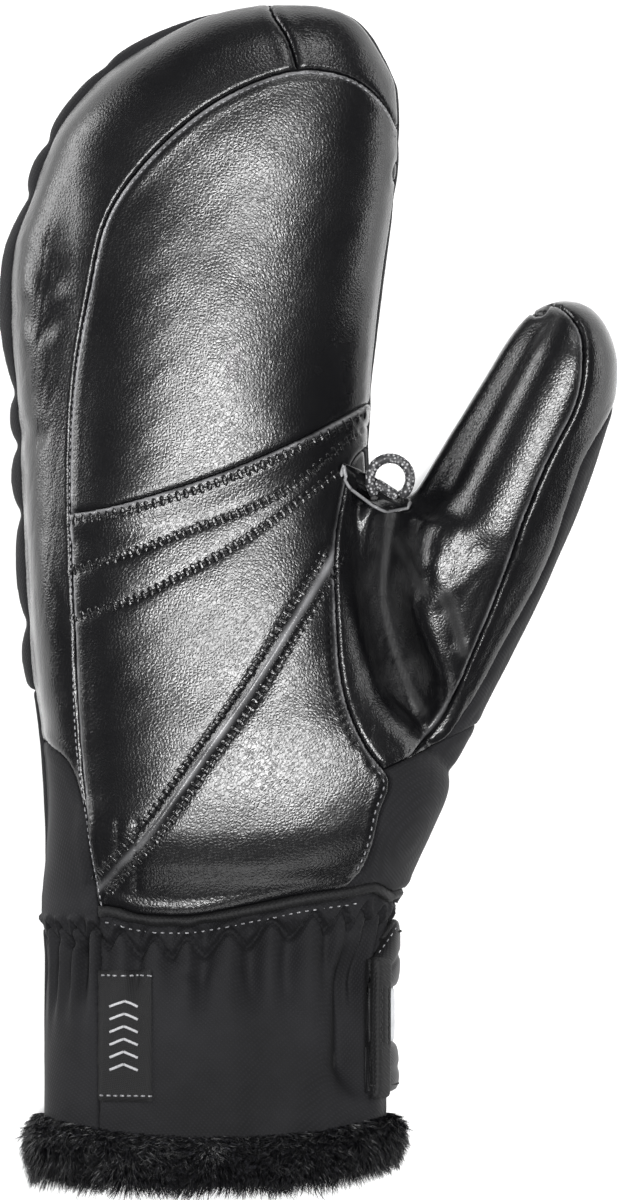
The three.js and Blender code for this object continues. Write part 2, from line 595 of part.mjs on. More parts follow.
const upperHand = without(handShell.intersect(aboveWrist), lowerHalf, seamSlab, rightOfThumbSeam);
const frontOfHand = without(upperHand, blade(palmSeam), blade(thumbSeam), blade(heelSeam));
const palm = frontOfHand.intersect(insidePalmSeam);
const rim = without(frontOfHand, insidePalmSeam);
const backOfHand = without(handShell.intersect(aboveWrist).intersect(lowerHalf), seamSlab, rightOfBackSeam,
  blade(backThumbSeam));
const thumbUpper = without(handShell.intersect(aboveWrist).intersect(rightOfThumbSeam), lowerHalf,
  seamSlab.subtract(rightOfBackSeam), blade(thumbSeam), blade(heelSeam));
const thumbUnder = without(handShell.intersect(aboveWrist).intersect(lowerHalf).intersect(rightOfBackSeam),
  blade(backThumbSeam));
const thumbAll = thumbUpper.add(thumbUnder);
const heelAll = thumbAll.intersect(belowThumbFoot);
const thumbTop = without(thumbAll, belowThumbFoot, thumbLower, thumbSlab, rightOfSideSeam, blade(thumbSideSeam));
const thumbBottom = without(thumbAll, belowThumbFoot).intersect(thumbLower.add(rightOfSideSeam));

const cuffFrontAll = without(cuffShell, lowerHalf, seamSlab).intersect(insidePalmSeam).subtract(blade(palmSeam));
const sideOfCuff = without(cuffShell.trimByPlane([0, -1, 0], 0), lowerHalf, seamSlab, insidePalmSeam, blade(palmSeam));
const sideOfHand = handShell.trimByPlane([0, 1, 0], -0.01)
  .intersect(belowGussetFoot).subtract(lowerHalf).subtract(seamSlab).subtract(insidePalmSeam)
  .subtract(blade(palmSeam)).subtract(blade(gussetFootSeam));

const root = new THREE.Group();

function add(name, solid, finish) {
  const mesh = largest(solid).asOriginal().simplify(FACET_TOLERANCE).getMesh();
  const geometry = new THREE.BufferGeometry();
  const positions = new Float32Array(mesh.numVert * 3);
  for (let i = 0; i < mesh.numVert; i++) {
    positions.set(mesh.vertProperties.subarray(i * mesh.numProp, i * mesh.numProp + 3), i * 3);
  }
  geometry.setAttribute("position", new THREE.BufferAttribute(positions, 3));
  geometry.setIndex(new THREE.BufferAttribute(new Uint32Array(mesh.triVerts), 1));
  geometry.computeVertexNormals();
  const made = new THREE.Mesh(geometry, new THREE.MeshStandardMaterial(finish));
  made.name = name;
  root.add(made);
}

add("palm_upper", without(palm, belowOverlay, blade(overlaySeam)), LEATHER);
add("palm_overlay", palm.intersect(belowOverlay).subtract(blade(overlaySeam)), LEATHER);
add("finger_gusset", without(rim, rightOfTipSeam, blade(tipSeam), belowGussetFoot, blade(gussetFootSeam)), LEATHER);
add("tip_gusset", without(rim.intersect(rightOfTipSeam), blade(tipSeam)), LEATHER);
add("side_panel", sideOfHand.add(sideOfCuff), SOFTSHELL);
add("quilted_back", without(backOfHand, belowYoke, blade([corner(-FAR, BACK_YOKE_AT * HAND_LENGTH),
  corner(FAR, BACK_YOKE_AT * HAND_LENGTH)])), SOFTSHELL);
add("back_yoke", backOfHand.intersect(belowYoke), SOFTSHELL);
add("thumb_front", without(thumbTop, rightOfFrontSeam, blade(thumbFrontSeam)), LEATHER);
add("thumb_side", without(thumbTop.intersect(rightOfFrontSeam), blade(thumbFrontSeam)), LEATHER);
add("thumb_back", without(thumbBottom, thumbSlab.subtract(rightOfSideSeam)), SOFTSHELL);
add("heel_panel", without(heelAll, blade(thumbFootSeam)), SOFTSHELL);
add("cuff_front", cuffFrontAll.intersect(belowBinding), SOFTSHELL);
add("wrist_binding", without(cuffFrontAll.intersect(belowWrist), bindingBelow), SOFTSHELL);
add("cuff_back", cuffShell.intersect(lowerHalf).intersect(belowWrist).subtract(seamSlab), SOFTSHELL);

// Pieces laid on the cuff

// A patch of even thickness on the plain cuff between two angles, clear of it by the fit.
function cuffPatch(ys, angles, lift, thickness) {
  return patch(
    ys,
    angles.map((a) => THREE.MathUtils.degToRad(a)),
    (y, angle) => bodyPoint(y, angle, evenly(lift)),
    (y, angle) => bodyPoint(y, angle, evenly(lift + thickness)),
  );
}

// The angle at which the plain front of the cuff passes a place across it.
function frontAngle(x, y) {
  const s = bodyAt(y);
  const share = (x - (s.right + s.left) / 2) / ((s.right - s.left) / 2);
  return THREE.MathUtils.radToDeg(Math.acos(power(THREE.MathUtils.clamp(share, -1, 1), FRONT_SQUARENESS / 2)));
}

const strapAngles = steps(STRAP_ANGLES[0], STRAP_ANGLES[1], 14);
const strapRows = [
  ...STRAP_FOLDS.map((fold) => ({ y: -STRAP_TOP - fold.down * REFLECTIVE_ABOVE, thick: fold.thick })),
  ...STRAP_FOLDS.map((fold) => ({ y: -STRAP_TOP - STRAP_HEIGHT + fold.down * REFLECTIVE_BELOW, thick: fold.thick }))
    .reverse(),
];

// The strap: folded over at the top and bottom, and half as thick where the pale band lies in it.
function strapPoint(row, angle, outside) {
  return bodyPoint(row.y, angle, evenly(FIT_GAP + (outside ? row.thick * STRAP_THICKNESS : 0)));
}

const strapTurns = strapAngles.map((a) => THREE.MathUtils.degToRad(a));
add("wrist_strap", patch(strapRows, strapTurns, (row, angle) => strapPoint(row, angle, false),
  (row, angle) => strapPoint(row, angle, true)), WEBBING);

const bandSeat = FIT_GAP + STRAP_THICKNESS * STRAP_FOLDS[STRAP_FOLDS.length - 1].thick + FIT_GAP;
const bandRows = [-STRAP_TOP - REFLECTIVE_ABOVE - FIT_GAP, -STRAP_TOP - STRAP_HEIGHT + REFLECTIVE_BELOW + FIT_GAP];
add("reflective_band", cuffPatch(bandRows, strapAngles.slice(0, -2), bandSeat, REFLECTIVE_THICKNESS), REFLECTIVE);

const strapEndBody = cuffPatch(
  steps(-STRAP_END_TOP, -STRAP_END_TOP - STRAP_END_HEIGHT, 5),
  steps(STRAP_END_ANGLES[0], STRAP_END_ANGLES[1], 3),
  FIT_GAP + STRAP_THICKNESS * 1.04 + FIT_GAP,
  STRAP_END_THICKNESS,
);
add("strap_end", strapEndBody, WEBBING);

const labelRows = steps(-LABEL_TOP, -LABEL_TOP - LABEL_HEIGHT, 5);
const labelColumns = steps(LABEL_LEFT, LABEL_LEFT + LABEL_WIDTH, 4);
const labelPoint = (lift) => (y, x) => bodyPoint(y, THREE.MathUtils.degToRad(frontAngle(x, y)), evenly(lift));
add("label", patch(labelRows, labelColumns, labelPoint(FIT_GAP), labelPoint(FIT_GAP + LABEL_THICKNESS)), LABEL);

// Fur round the hem: a backing round the cuff's edge with rows of locks fused to it.
const FUR_ROWS = [
  { down: 0.0, out: 0.12 },
  { down: 0.14, out: 0.62 },
  { down: 0.32, out: 0.92 },
  { down: 0.52, out: 1.0 },
  { down: 0.74, out: 0.86 },
  { down: 0.9, out: 0.55 },
  { down: 1.0, out: 0.1 },
];

// A steady spread of numbers from 0 to 1 over the locks and rows.
function scatter(lock, row) {
  const v = Math.sin(lock * 127.1 + row * 311.7) * 43758.5453;
  return v - Math.floor(v);
}

function furRing(lock) {
  const angle = (2 * Math.PI * lock) / FUR_LOCKS;
  const lobe = lock % 2;
  const across = Math.cos(angle);
  const lift = FUR_RIGHT_LIFT * Math.max(0, across) ** 3 + FUR_LEFT_LIFT * Math.max(0, -across) ** 3;
  const top = -CUFF_LENGTH + FUR_ABOVE_HEM + FUR_TOP_RISE * across ** 2 + 0.8 * scatter(lock, 1);
  const bottom = -CUFF_LENGTH - FUR_BELOW_HEM + lift + 1.6 * (1 - lobe) + 1.4 * scatter(lock, 2);
  const pileAt = (row, i) => {
    const out = FUR_PILE * row.out + FUR_LOCK_DEPTH * row.out * (lobe + 0.6 * scatter(lock, i));
    const y = top + (bottom - top) * row.down;
    return bodyPoint(Math.min(y, -0.01), angle, evenly(FIT_GAP + out)).setY(y);
  };
  const hem = -CUFF_LENGTH;
  return [
    ...FUR_ROWS.map(pileAt),
    bodyPoint(hem, angle, evenly(-CUFF_WALL)).setY(bottom + 1.5),
    bodyPoint(hem, angle, evenly(-CUFF_WALL - 0.6)).setY(hem - FIT_GAP),
    bodyPoint(hem, angle, evenly(FIT_GAP)).setY(hem - FIT_GAP),
    bodyPoint(top, angle, evenly(FIT_GAP)).setY(top),
  ];
}

add("fur_trim", ringsSolid(Array.from({ length: FUR_LOCKS }, (_, i) => furRing(i)), true)
  .trimByPlane([0, 0, 1], 0), FUR);

// Pole loop on its patch, at the crotch of the thumb

// A place in plan measured from the crotch.
function fromCrotch([right, up]) {
  return thumbPlan(CROTCH_ACROSS, CROTCH_AT).add(new THREE.Vector2(right, up));
}

function grown(out) {
  const stations = handStations.filter((y) => y > 0.25 * HAND_LENGTH && y < 0.65 * HAND_LENGTH);
  const body = loft(stations, HAND_FACETS, (y, angle) => bodyPoint(y, angle, evenly(out)));
  return body.add(loft(thumbStations, THUMB_FACETS, (at, angle) => thumbPoint(at, angle, out)));
}

// Height of a solid's top in a small square about a point in plan.
function topAt(solid, plan, reach) {
  const square = [[-1, -1], [1, -1], [1, 1], [-1, 1]].map(([x, y]) => corner(plan.x + x * reach, plan.y + y * reach));
  return solid.intersect(prism(square)).boundingBox().max[2];
}

const seat = grown(FIT_GAP);
const patchSkin = grown(FIT_GAP + PATCH_THICKNESS);
const sleeveMiddle = fromCrotch(SLEEVE_FROM_CROTCH);
const sleeveAlong = new THREE.Vector3(1, 0, 0).applyAxisAngle(
  new THREE.Vector3(0, 0, 1), THREE.MathUtils.degToRad(SLEEVE_SLOPE_DEG),
);
const sleeveHeight = topAt(patchSkin, corner(sleeveMiddle.x, sleeveMiddle.y - SLEEVE_SET_DOWN), 1.2);
const sleeveCentre = new THREE.Vector3(sleeveMiddle.x, sleeveMiddle.y, sleeveHeight);

// A round bar along the sleeve's line.
function sleeveBar(radius, length) {
  const ends = [-length / 2, length / 2].map((d) => sleeveCentre.clone().addScaledVector(sleeveAlong, d));
  const across = new THREE.Vector3(0, 0, 1).cross(sleeveAlong);
  return ringsSolid(ends.map((end) => Array.from({ length: 16 }, (_, j) => {
    const angle = (2 * Math.PI * j) / 16;
    return end.clone()
      .addScaledVector(across, radius * Math.cos(angle))
      .add(new THREE.Vector3(0, 0, radius * Math.sin(angle)));
  })));
}

// The cord: an arch over the sleeve and a thin core back through it, as one closed loop.
function cordLoop(out) {
  const upward = new THREE.Vector3(0, 0, 1).cross(sleeveAlong);
  const thick = LOOP_CORD_DIAMETER / 2;
  const thin = LOOP_CORE_DIAMETER / 2;
  const arch = steps(0, Math.PI, 12).map((angle) => ({
    along: LOOP_RADIUS * Math.cos(angle),
    up: LOOP_RADIUS * Math.sin(angle) + LOOP_LEG,
    radius: thick + out,
  }));
  const turn = { along: LOOP_RADIUS - thick / 5, up: thick / 5, radius: (thick + thin) / 2 + out };
  const core = { along: LOOP_RADIUS - thick * 0.8, up: 0, radius: thin + out };
  const line = [
    ...arch,
    { ...turn, along: -turn.along },
    { ...core, along: -core.along },
    core,
    turn,
  ];
  return ringsSolid(line.map((point, i) => {
    const ahead = line[(i + 1) % line.length];
    const behind = line[(i + line.length - 1) % line.length];
    const tangent = new THREE.Vector2(ahead.along - behind.along, ahead.up - behind.up).normalize();
    return Array.from({ length: 10 }, (_, j) => {
      const angle = (2 * Math.PI * j) / 10;
      const side = point.radius * Math.cos(angle);
      return sleeveCentre.clone()
        .addScaledVector(sleeveAlong, point.along - tangent.y * side)
        .addScaledVector(upward, point.up + tangent.x * side)
        .add(new THREE.Vector3(0, 0, point.radius * Math.sin(angle)));
    });
  }), true);
}

const patchOutline = new THREE.SplineCurve(LOOP_PATCH.map(fromCrotch));
patchOutline.points.push(patchOutline.points[0]);
const patchBody = patchSkin.subtract(seat).trimByPlane([0, 0, 1], 0.56 * HAND_DEPTH)
  .intersect(prism(patchOutline.getPoints(28)));
const clearance = sleeveBar(SLEEVE_DIAMETER / 2 + FIT_GAP, SLEEVE_LENGTH + 2 * FIT_GAP);
add("loop_patch", without(patchBody, clearance, cordLoop(FIT_GAP)), LEATHER);
add("loop_sleeve", sleeveBar(SLEEVE_DIAMETER / 2, SLEEVE_LENGTH).subtract(
  sleeveBar(LOOP_CORE_DIAMETER / 2 + FIT_GAP, SLEEVE_LENGTH + 2)), CORD);
add("loop_cord", cordLoop(0), CORD);

// The origin goes to the middle of the underside.
const box = new THREE.Box3().setFromObject(root);
const middle = box.getCenter(new THREE.Vector3());
root.children.forEach((child) => child.geometry.translate(-middle.x, -middle.y, -box.min.z));

export default root;
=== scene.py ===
"""Right-hand ski mitten in pebbled black leather and softshell, lying on its back with the palm up.

The forms are worked out in millimetres in the hand's own frame: Y runs up from the wrist seam to the
fingertips, X to the thumb and Z up through the palm. They are moved to the part's frame when they are made.
"""

import logging
import math
from collections.abc import Callable, Iterable, Sequence
from dataclasses import dataclass, field
from enum import Enum
import json

import bpy
import numpy as np
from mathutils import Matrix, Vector
from mathutils.bvhtree import BVHTree
from mathutils.kdtree import KDTree

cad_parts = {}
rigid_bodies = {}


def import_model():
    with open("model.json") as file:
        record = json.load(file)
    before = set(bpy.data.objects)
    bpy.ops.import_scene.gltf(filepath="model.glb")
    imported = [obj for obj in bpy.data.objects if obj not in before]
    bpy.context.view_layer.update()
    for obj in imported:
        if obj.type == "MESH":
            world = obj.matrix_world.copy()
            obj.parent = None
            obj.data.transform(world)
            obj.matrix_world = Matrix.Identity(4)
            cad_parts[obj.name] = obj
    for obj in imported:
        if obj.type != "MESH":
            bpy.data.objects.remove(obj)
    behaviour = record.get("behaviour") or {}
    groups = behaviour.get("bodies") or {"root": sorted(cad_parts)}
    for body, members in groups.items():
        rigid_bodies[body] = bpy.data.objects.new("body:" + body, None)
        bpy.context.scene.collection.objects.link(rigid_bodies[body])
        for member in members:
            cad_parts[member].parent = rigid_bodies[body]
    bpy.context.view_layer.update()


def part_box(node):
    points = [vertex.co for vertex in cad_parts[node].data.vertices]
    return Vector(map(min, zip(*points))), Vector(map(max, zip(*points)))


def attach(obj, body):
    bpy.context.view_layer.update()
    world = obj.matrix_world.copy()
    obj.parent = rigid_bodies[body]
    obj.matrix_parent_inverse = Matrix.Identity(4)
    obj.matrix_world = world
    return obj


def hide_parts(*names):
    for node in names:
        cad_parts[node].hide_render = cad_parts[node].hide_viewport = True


for spare in [o for o in bpy.data.objects if o.name in ("Cube", "Light", "Camera")]:
    bpy.data.objects.remove(spare)
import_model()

LOG = logging.getLogger("mitten")
MM = 0.001
Array = np.ndarray


# Numbers and curves


def smoothstep(x: Array, low: float, high: float) -> Array:
    """Smooth rise from 0 at low to 1 at high."""
    t = np.clip((x - low) / (high - low), 0.0, 1.0)
    return t * t * (3.0 - 2.0 * t)


def power(v: Array, p: float) -> Array:
    """Power of a number that keeps its sign."""
    return np.sign(v) * np.abs(v) ** p


def ripple(points: Array, size: float, seed: float = 0.0) -> Array:
    """Smooth wandering values from about -1 to 1 over a space.

    Args:
        points: Places, one row each.
        size: Width of one swell, in the units of the places.
        seed: Picks another set of swells.

    Returns:
        One value for each place.
    """
    p = np.asarray(points, float) * (2.0 * math.pi / size)
    total = np.zeros(len(p))
    for k in range(5):
        a = seed * 1.7 + k * 2.399
        way = np.array([math.cos(a), math.sin(a * 1.3), math.cos(a * 0.7 + 1.0)])
        total += np.sin(p @ (way * (0.7 + 0.17 * k)) + seed * 3.1 + k * 1.9)
    return total / 3.2


class Column:
    """A smooth function through a table's rows, with no overshoot between them."""

    def __init__(self, at: Sequence[float], values: Sequence[float]) -> None:
        """Take the rows' places and values."""
        self.x = np.array(at, float)
        self.y = np.array(values, float)
        slope = np.diff(self.y) / np.diff(self.x)
        self.m = np.concatenate([[slope[0]], np.zeros(len(slope) - 1), [slope[-1]]])
        for i in range(1, len(slope)):
            if slope[i - 1] * slope[i] > 0:
                self.m[i] = 2 * slope[i - 1] * slope[i] / (slope[i - 1] + slope[i])

    def __call__(self, at: Array) -> Array:
        """Value at each place."""
        t = np.clip(at, self.x[0], self.x[-1])
        i = np.clip(np.searchsorted(self.x, t, side="right") - 1, 0, len(self.x) - 2)
        h = self.x[i + 1] - self.x[i]
        s = (t - self.x[i]) / h
        return (
            self.y[i] * (1 + 2 * s) * (1 - s) ** 2
            + h * self.m[i] * s * (1 - s) ** 2
            + self.y[i + 1] * s * s * (3 - 2 * s)
            + h * self.m[i + 1] * s * s * (s - 1)
        )


def spline(points: Sequence[tuple[float, ...]], spacing: float = 1.5) -> Array:
    """Smooth open line through points.

    Args:
        points: The places that it passes.
        spacing: Distance between the line's own points.

    Returns:
        Evenly spaced points along it.
    """
    p = np.array(points, float)
    if len(p) == 2:
        dense = p
    else:
        q = np.vstack([2 * p[0] - p[1], p, 2 * p[-1] - p[-2]])
        parts = []
        for i in range(1, len(q) - 2):
            t = np.linspace(0, 1, 24, endpoint=False)[:, None]
            a, b, c, d = q[i - 1], q[i], q[i + 1], q[i + 2]
            parts.append(
                0.5 * (2 * b + (c - a) * t + (2 * a - 5 * b + 4 * c - d) * t**2 + (3 * b - a - 3 * c + d) * t**3)
            )
        dense = np.vstack([*parts, p[-1:]])
    return resample(dense, spacing)


def resample(line: Array, spacing: float) -> Array:
    """Points at an even spacing along a line."""
    step = np.linalg.norm(np.diff(line, axis=0), axis=1)
    run = np.concatenate([[0], np.cumsum(step)])
    count = max(2, int(round(run[-1] / spacing)) + 1)
    at = np.linspace(0, run[-1], count)
    return np.column_stack([np.interp(at, run, line[:, k]) for k in range(line.shape[1])])


def offset_line(line: Array, offset: float) -> Array:
    """Line in plan moved sideways, to its right when the offset is positive."""
    along = np.gradient(line[:, :2], axis=0)
    along /= np.linalg.norm(along, axis=1)[:, None]
    moved = line.copy()
    moved[:, 0] += along[:, 1] * offset
    moved[:, 1] -= along[:, 0] * offset
    return moved


def side_of(points: Array, line: Array) -> Array:
    """Distance in plan from a line that runs on straight past its ends, positive on its right."""
    best = np.full(len(points), 1e9)
    signed = np.zeros(len(points))
    last = len(line) - 2
    for i in range(last + 1):
        a, b = line[i], line[i + 1]
        d = b - a
        length = float(np.hypot(*d)) or 1e-9
        d = d / length
        rel = points - a
        t = rel @ d
        low = -1e9 if i == 0 else 0.0
        high = 1e9 if i == last else length
        near = np.clip(t, low, high)
        off = rel - near[:, None] * d
        dist = np.hypot(off[:, 0], off[:, 1])
        take = dist < best
        cross = rel[:, 0] * d[1] - rel[:, 1] * d[0]
        signed[take] = (np.sign(cross) * dist)[take]
        best[take] = dist[take]
    return signed


def away_from(points: Array, line: Array) -> tuple[Array, Array]:
    """Distance in plan from an open line, and the share of the way along it."""
    far, none = np.full(len(points), 1e9), np.zeros(len(points))
    rows = np.flatnonzero(((points > line.min(0) - 14) & (points < line.max(0) + 14)).all(axis=1))
    near = points[rows]
    best, share = far[rows], none[rows]
    for i in range(len(line) - 1):
        a, d = line[i], line[i + 1] - line[i]
        t = np.clip(((near - a) @ d) / max(float(d @ d), 1e-9), 0, 1)
        off = near - a - t[:, None] * d
        dist = np.hypot(off[:, 0], off[:, 1])
        take = dist < best
        best[take] = dist[take]
        share[take] = ((i + t) / (len(line) - 1))[take]
    far[rows], none[rows] = best, share
    return far, none


# Sizes, as in the part's source


@dataclass(frozen=True)
class Sizes:
    """Driving dimensions of the mitten in millimetres."""

    hand_length: float = 225.0
    hand_width: float = 99.5
    hand_depth: float = 50.0
    cuff_length: float = 60.0
    thumb_length: float = 126.75
    thumb_width: float = 39.0
    thumb_depth: float = 36.0
    thumb_lean_deg: float = 24.5
    thumb_root: tuple[float, float] = (43.5, 34.4)
    quilt_rise: float = 2.2
    quilt_lean: float = 0.6
    gather_depth: float = 1.1
    gather_count: int = 30
    binding_width: float = 2.4
    fit_gap: float = 0.35
    strap_thickness: float = 2.8
    strap_top: float = 3.5
    strap_height: float = 42.5
    reflective_above: float = 16.5
    reflective_below: float = 12.0
    strap_end_top: float = 12.5
    strap_end_height: float = 35.0
    label_left: float = -25.5
    label_top: float = 15.5
    label_width: float = 13.6
    label_height: float = 32.5
    palm_wall: float = 3.2
    back_wall: float = 5.0
    cuff_wall: float = 3.0


SIZE = Sizes()

HAND_AT = (-0.03, 0.0, 0.028, 0.05, 0.09, 0.139, 0.183, 0.25, 0.339, 0.428, 0.517, 0.583, 0.65, 0.717, 0.783,
           0.85, 0.905, 0.95, 0.978, 0.992, 1.0)
HAND = {
    "left": Column(HAND_AT, (0.4, 0.4, 0.395, 0.389, 0.391, 0.397, 0.404, 0.42, 0.432, 0.442, 0.45, 0.462, 0.474,
                             0.469, 0.428, 0.37, 0.262, 0.14, 0.034, -0.055, -0.15)),
    "right": Column(HAND_AT, (0.475, 0.482, 0.525, 0.548, 0.588, 0.625, 0.58, 0.48, 0.44, 0.422, 0.417, 0.425,
                              0.442, 0.46, 0.48, 0.494, 0.49, 0.445, 0.402, 0.36, 0.3)),
    "back": Column(HAND_AT, (0.07, 0.06, 0.045, 0.03, 0.02, 0.02, 0.02, 0.02, 0.02, 0.02, 0.02, 0.025, 0.03,
                             0.035, 0.05, 0.09, 0.15, 0.23, 0.31, 0.38, 0.45)),
    "seam": Column(HAND_AT, (0.47, 0.47, 0.47, 0.47, 0.47, 0.47, 0.47, 0.465, 0.46, 0.46, 0.46, 0.46, 0.46, 0.47,
                             0.47, 0.48, 0.49, 0.5, 0.51, 0.52, 0.52)),
    "front": Column(HAND_AT, (0.93, 0.94, 0.98, 1.03, 1.07, 1.08, 1.08, 1.06, 1.04, 1.01, 0.99, 0.98, 0.96, 0.93,
                              0.9, 0.87, 0.83, 0.77, 0.7, 0.64, 0.58)),
}
CUFF_AT = (-0.14, 0.0, 0.104, 0.229, 0.396, 0.6, 0.833, 1.0)
CUFF = {
    "left": Column(CUFF_AT, (0.392, 0.4, 0.397, 0.397, 0.397, 0.394, 0.39, 0.388)),
    "right": Column(CUFF_AT, (0.53, 0.482, 0.472, 0.468, 0.466, 0.466, 0.464, 0.46)),
    "back": Column(CUFF_AT, (0.05, 0.06, 0.08, 0.09, 0.1, 0.11, 0.105, 0.1)),
    "seam": Column(CUFF_AT, (0.47, 0.47, 0.48, 0.49, 0.5, 0.52, 0.53, 0.53)),
    "front": Column(CUFF_AT, (0.97, 0.94, 0.9, 0.91, 0.95, 0.99, 1.0, 0.99)),
}
THUMB_AT = (0.0, 0.08, 0.17, 0.306, 0.455, 0.49, 0.525, 0.6, 0.785, 0.876, 0.925, 0.962, 0.988, 1.0)
THUMB = {
    "left": Column(THUMB_AT, (0.2, 0.5, 0.68, 0.8, 0.84, 0.71, 0.5, 0.465, 0.395, 0.365, 0.325, 0.255, 0.16, 0.06)),
    "right": Column(THUMB_AT, (0.3, 0.46, 0.48, 0.5, 0.515, 0.513, 0.51, 0.505, 0.455, 0.4, 0.335, 0.24, 0.13,
                               0.035)),
    "middle": Column(THUMB_AT, (0.52, 0.53, 0.54, 0.57, 0.605, 0.615, 0.625, 0.64, 0.68, 0.695, 0.7, 0.705, 0.71,
                                0.71)),
    "depth": Column(THUMB_AT, (0.5, 0.76, 0.92, 1.0, 1.02, 1.02, 1.01, 0.99, 0.93, 0.86, 0.76, 0.6, 0.38, 0.16)),
}
QUILT_CHANNELS = (0.239, 0.314, 0.437, 0.512, 0.569, 0.789, 0.849, 0.925, 0.99)
QUILT_RISES = (0.8, 1.0, 1.0, 0.9, 1.1, 0.9, 0.9, 1.0)
FRONT_SQUARENESS = 2.25
BACK_SQUARENESS = 2.7

# Seams in shares of the hand's width and length, as in the part's source.
SEAMS = {
    "palm": ((1.4, 0.79), (0.56, 0.79), (0.505, 0.85), (0.465, 0.889), (0.382, 0.918), (0.264, 0.927),
             (0.138, 0.913), (0.0, 0.879), (-0.138, 0.824), (-0.234, 0.763), (-0.281, 0.683), (-0.322, 0.589),
             (-0.337, 0.483), (-0.332, 0.35), (-0.322, 0.194), (-0.291, 0.089), (-0.256, 0.0), (-0.256, -0.1),
             (-0.256, -0.34)),
    "tip": ((0.15, 1.04), (0.178, 0.994), (0.221, 0.961), (0.246, 0.924)),
    "overlay": ((-0.36, 0.434), (-0.337, 0.436), (-0.226, 0.443), (-0.075, 0.461), (0.1, 0.488), (0.276, 0.523),
                (0.44, 0.563), (0.6, 0.605)),
    "thumb": ((0.5, 0.56), (0.432, 0.517), (0.382, 0.492), (0.357, 0.45), (0.342, 0.4), (0.344, 0.328),
              (0.352, 0.261), (0.379, 0.212), (0.422, 0.174), (0.475, 0.141), (0.452, 0.106), (0.432, 0.067),
              (0.402, 0.037), (0.367, 0.023), (0.34, -0.02)),
    "gusset_foot": ((-0.6, 0.3), (-0.47, 0.23), (-0.4, 0.18), (-0.356, 0.159), (-0.314, 0.117), (-0.27, 0.09)),
    "wrist": ((-0.6, 0.002), (-0.256, 0.002), (-0.15, -0.008), (-0.025, -0.01), (0.1, 0.0), (0.25, 0.013),
              (0.377, 0.021), (0.44, 0.026), (0.49, 0.014), (0.53, 0.022), (0.7, 0.022)),
    "back_thumb": ((0.5, 0.56), (0.45, 0.5), (0.475, 0.38), (0.49, 0.23), (0.495, 0.1), (0.49, -0.05)),
}
THUMB_SEAMS = {
    "front": ((-0.6, 0.92), (-0.287, 0.945), (-0.2, 0.979), (-0.062, 0.97), (0.064, 0.938), (0.173, 0.864),
              (0.21, 0.8), (0.197, 0.73), (0.193, 0.665), (0.206, 0.571), (0.249, 0.428), (0.27, 0.262),
              (0.263, 0.181), (0.21, 0.095), (0.136, 0.006)),
    "side": ((0.7, 0.93), (0.444, 0.88), (0.425, 0.81), (0.4, 0.73), (0.41, 0.661), (0.455, 0.528),
             (0.452, 0.433), (0.424, 0.334), (0.404, 0.227), (0.368, 0.152), (0.314, 0.08), (0.271, 0.009),
             (0.274, -0.055), (0.28, -0.2)),
    "foot": ((0.24, 0.075), (0.7, 0.24)),
}
BACK_YOKE_AT = 0.239
VALLEY = ((0.5, 0.47), (0.477, 0.42), (0.465, 0.34), (0.497, 0.283), (0.54, 0.225))


def hand_plan(across: float, at: float) -> tuple[float, float]:
    """Place in plan from the hand's shares."""
    return across * SIZE.hand_width, at * SIZE.hand_length


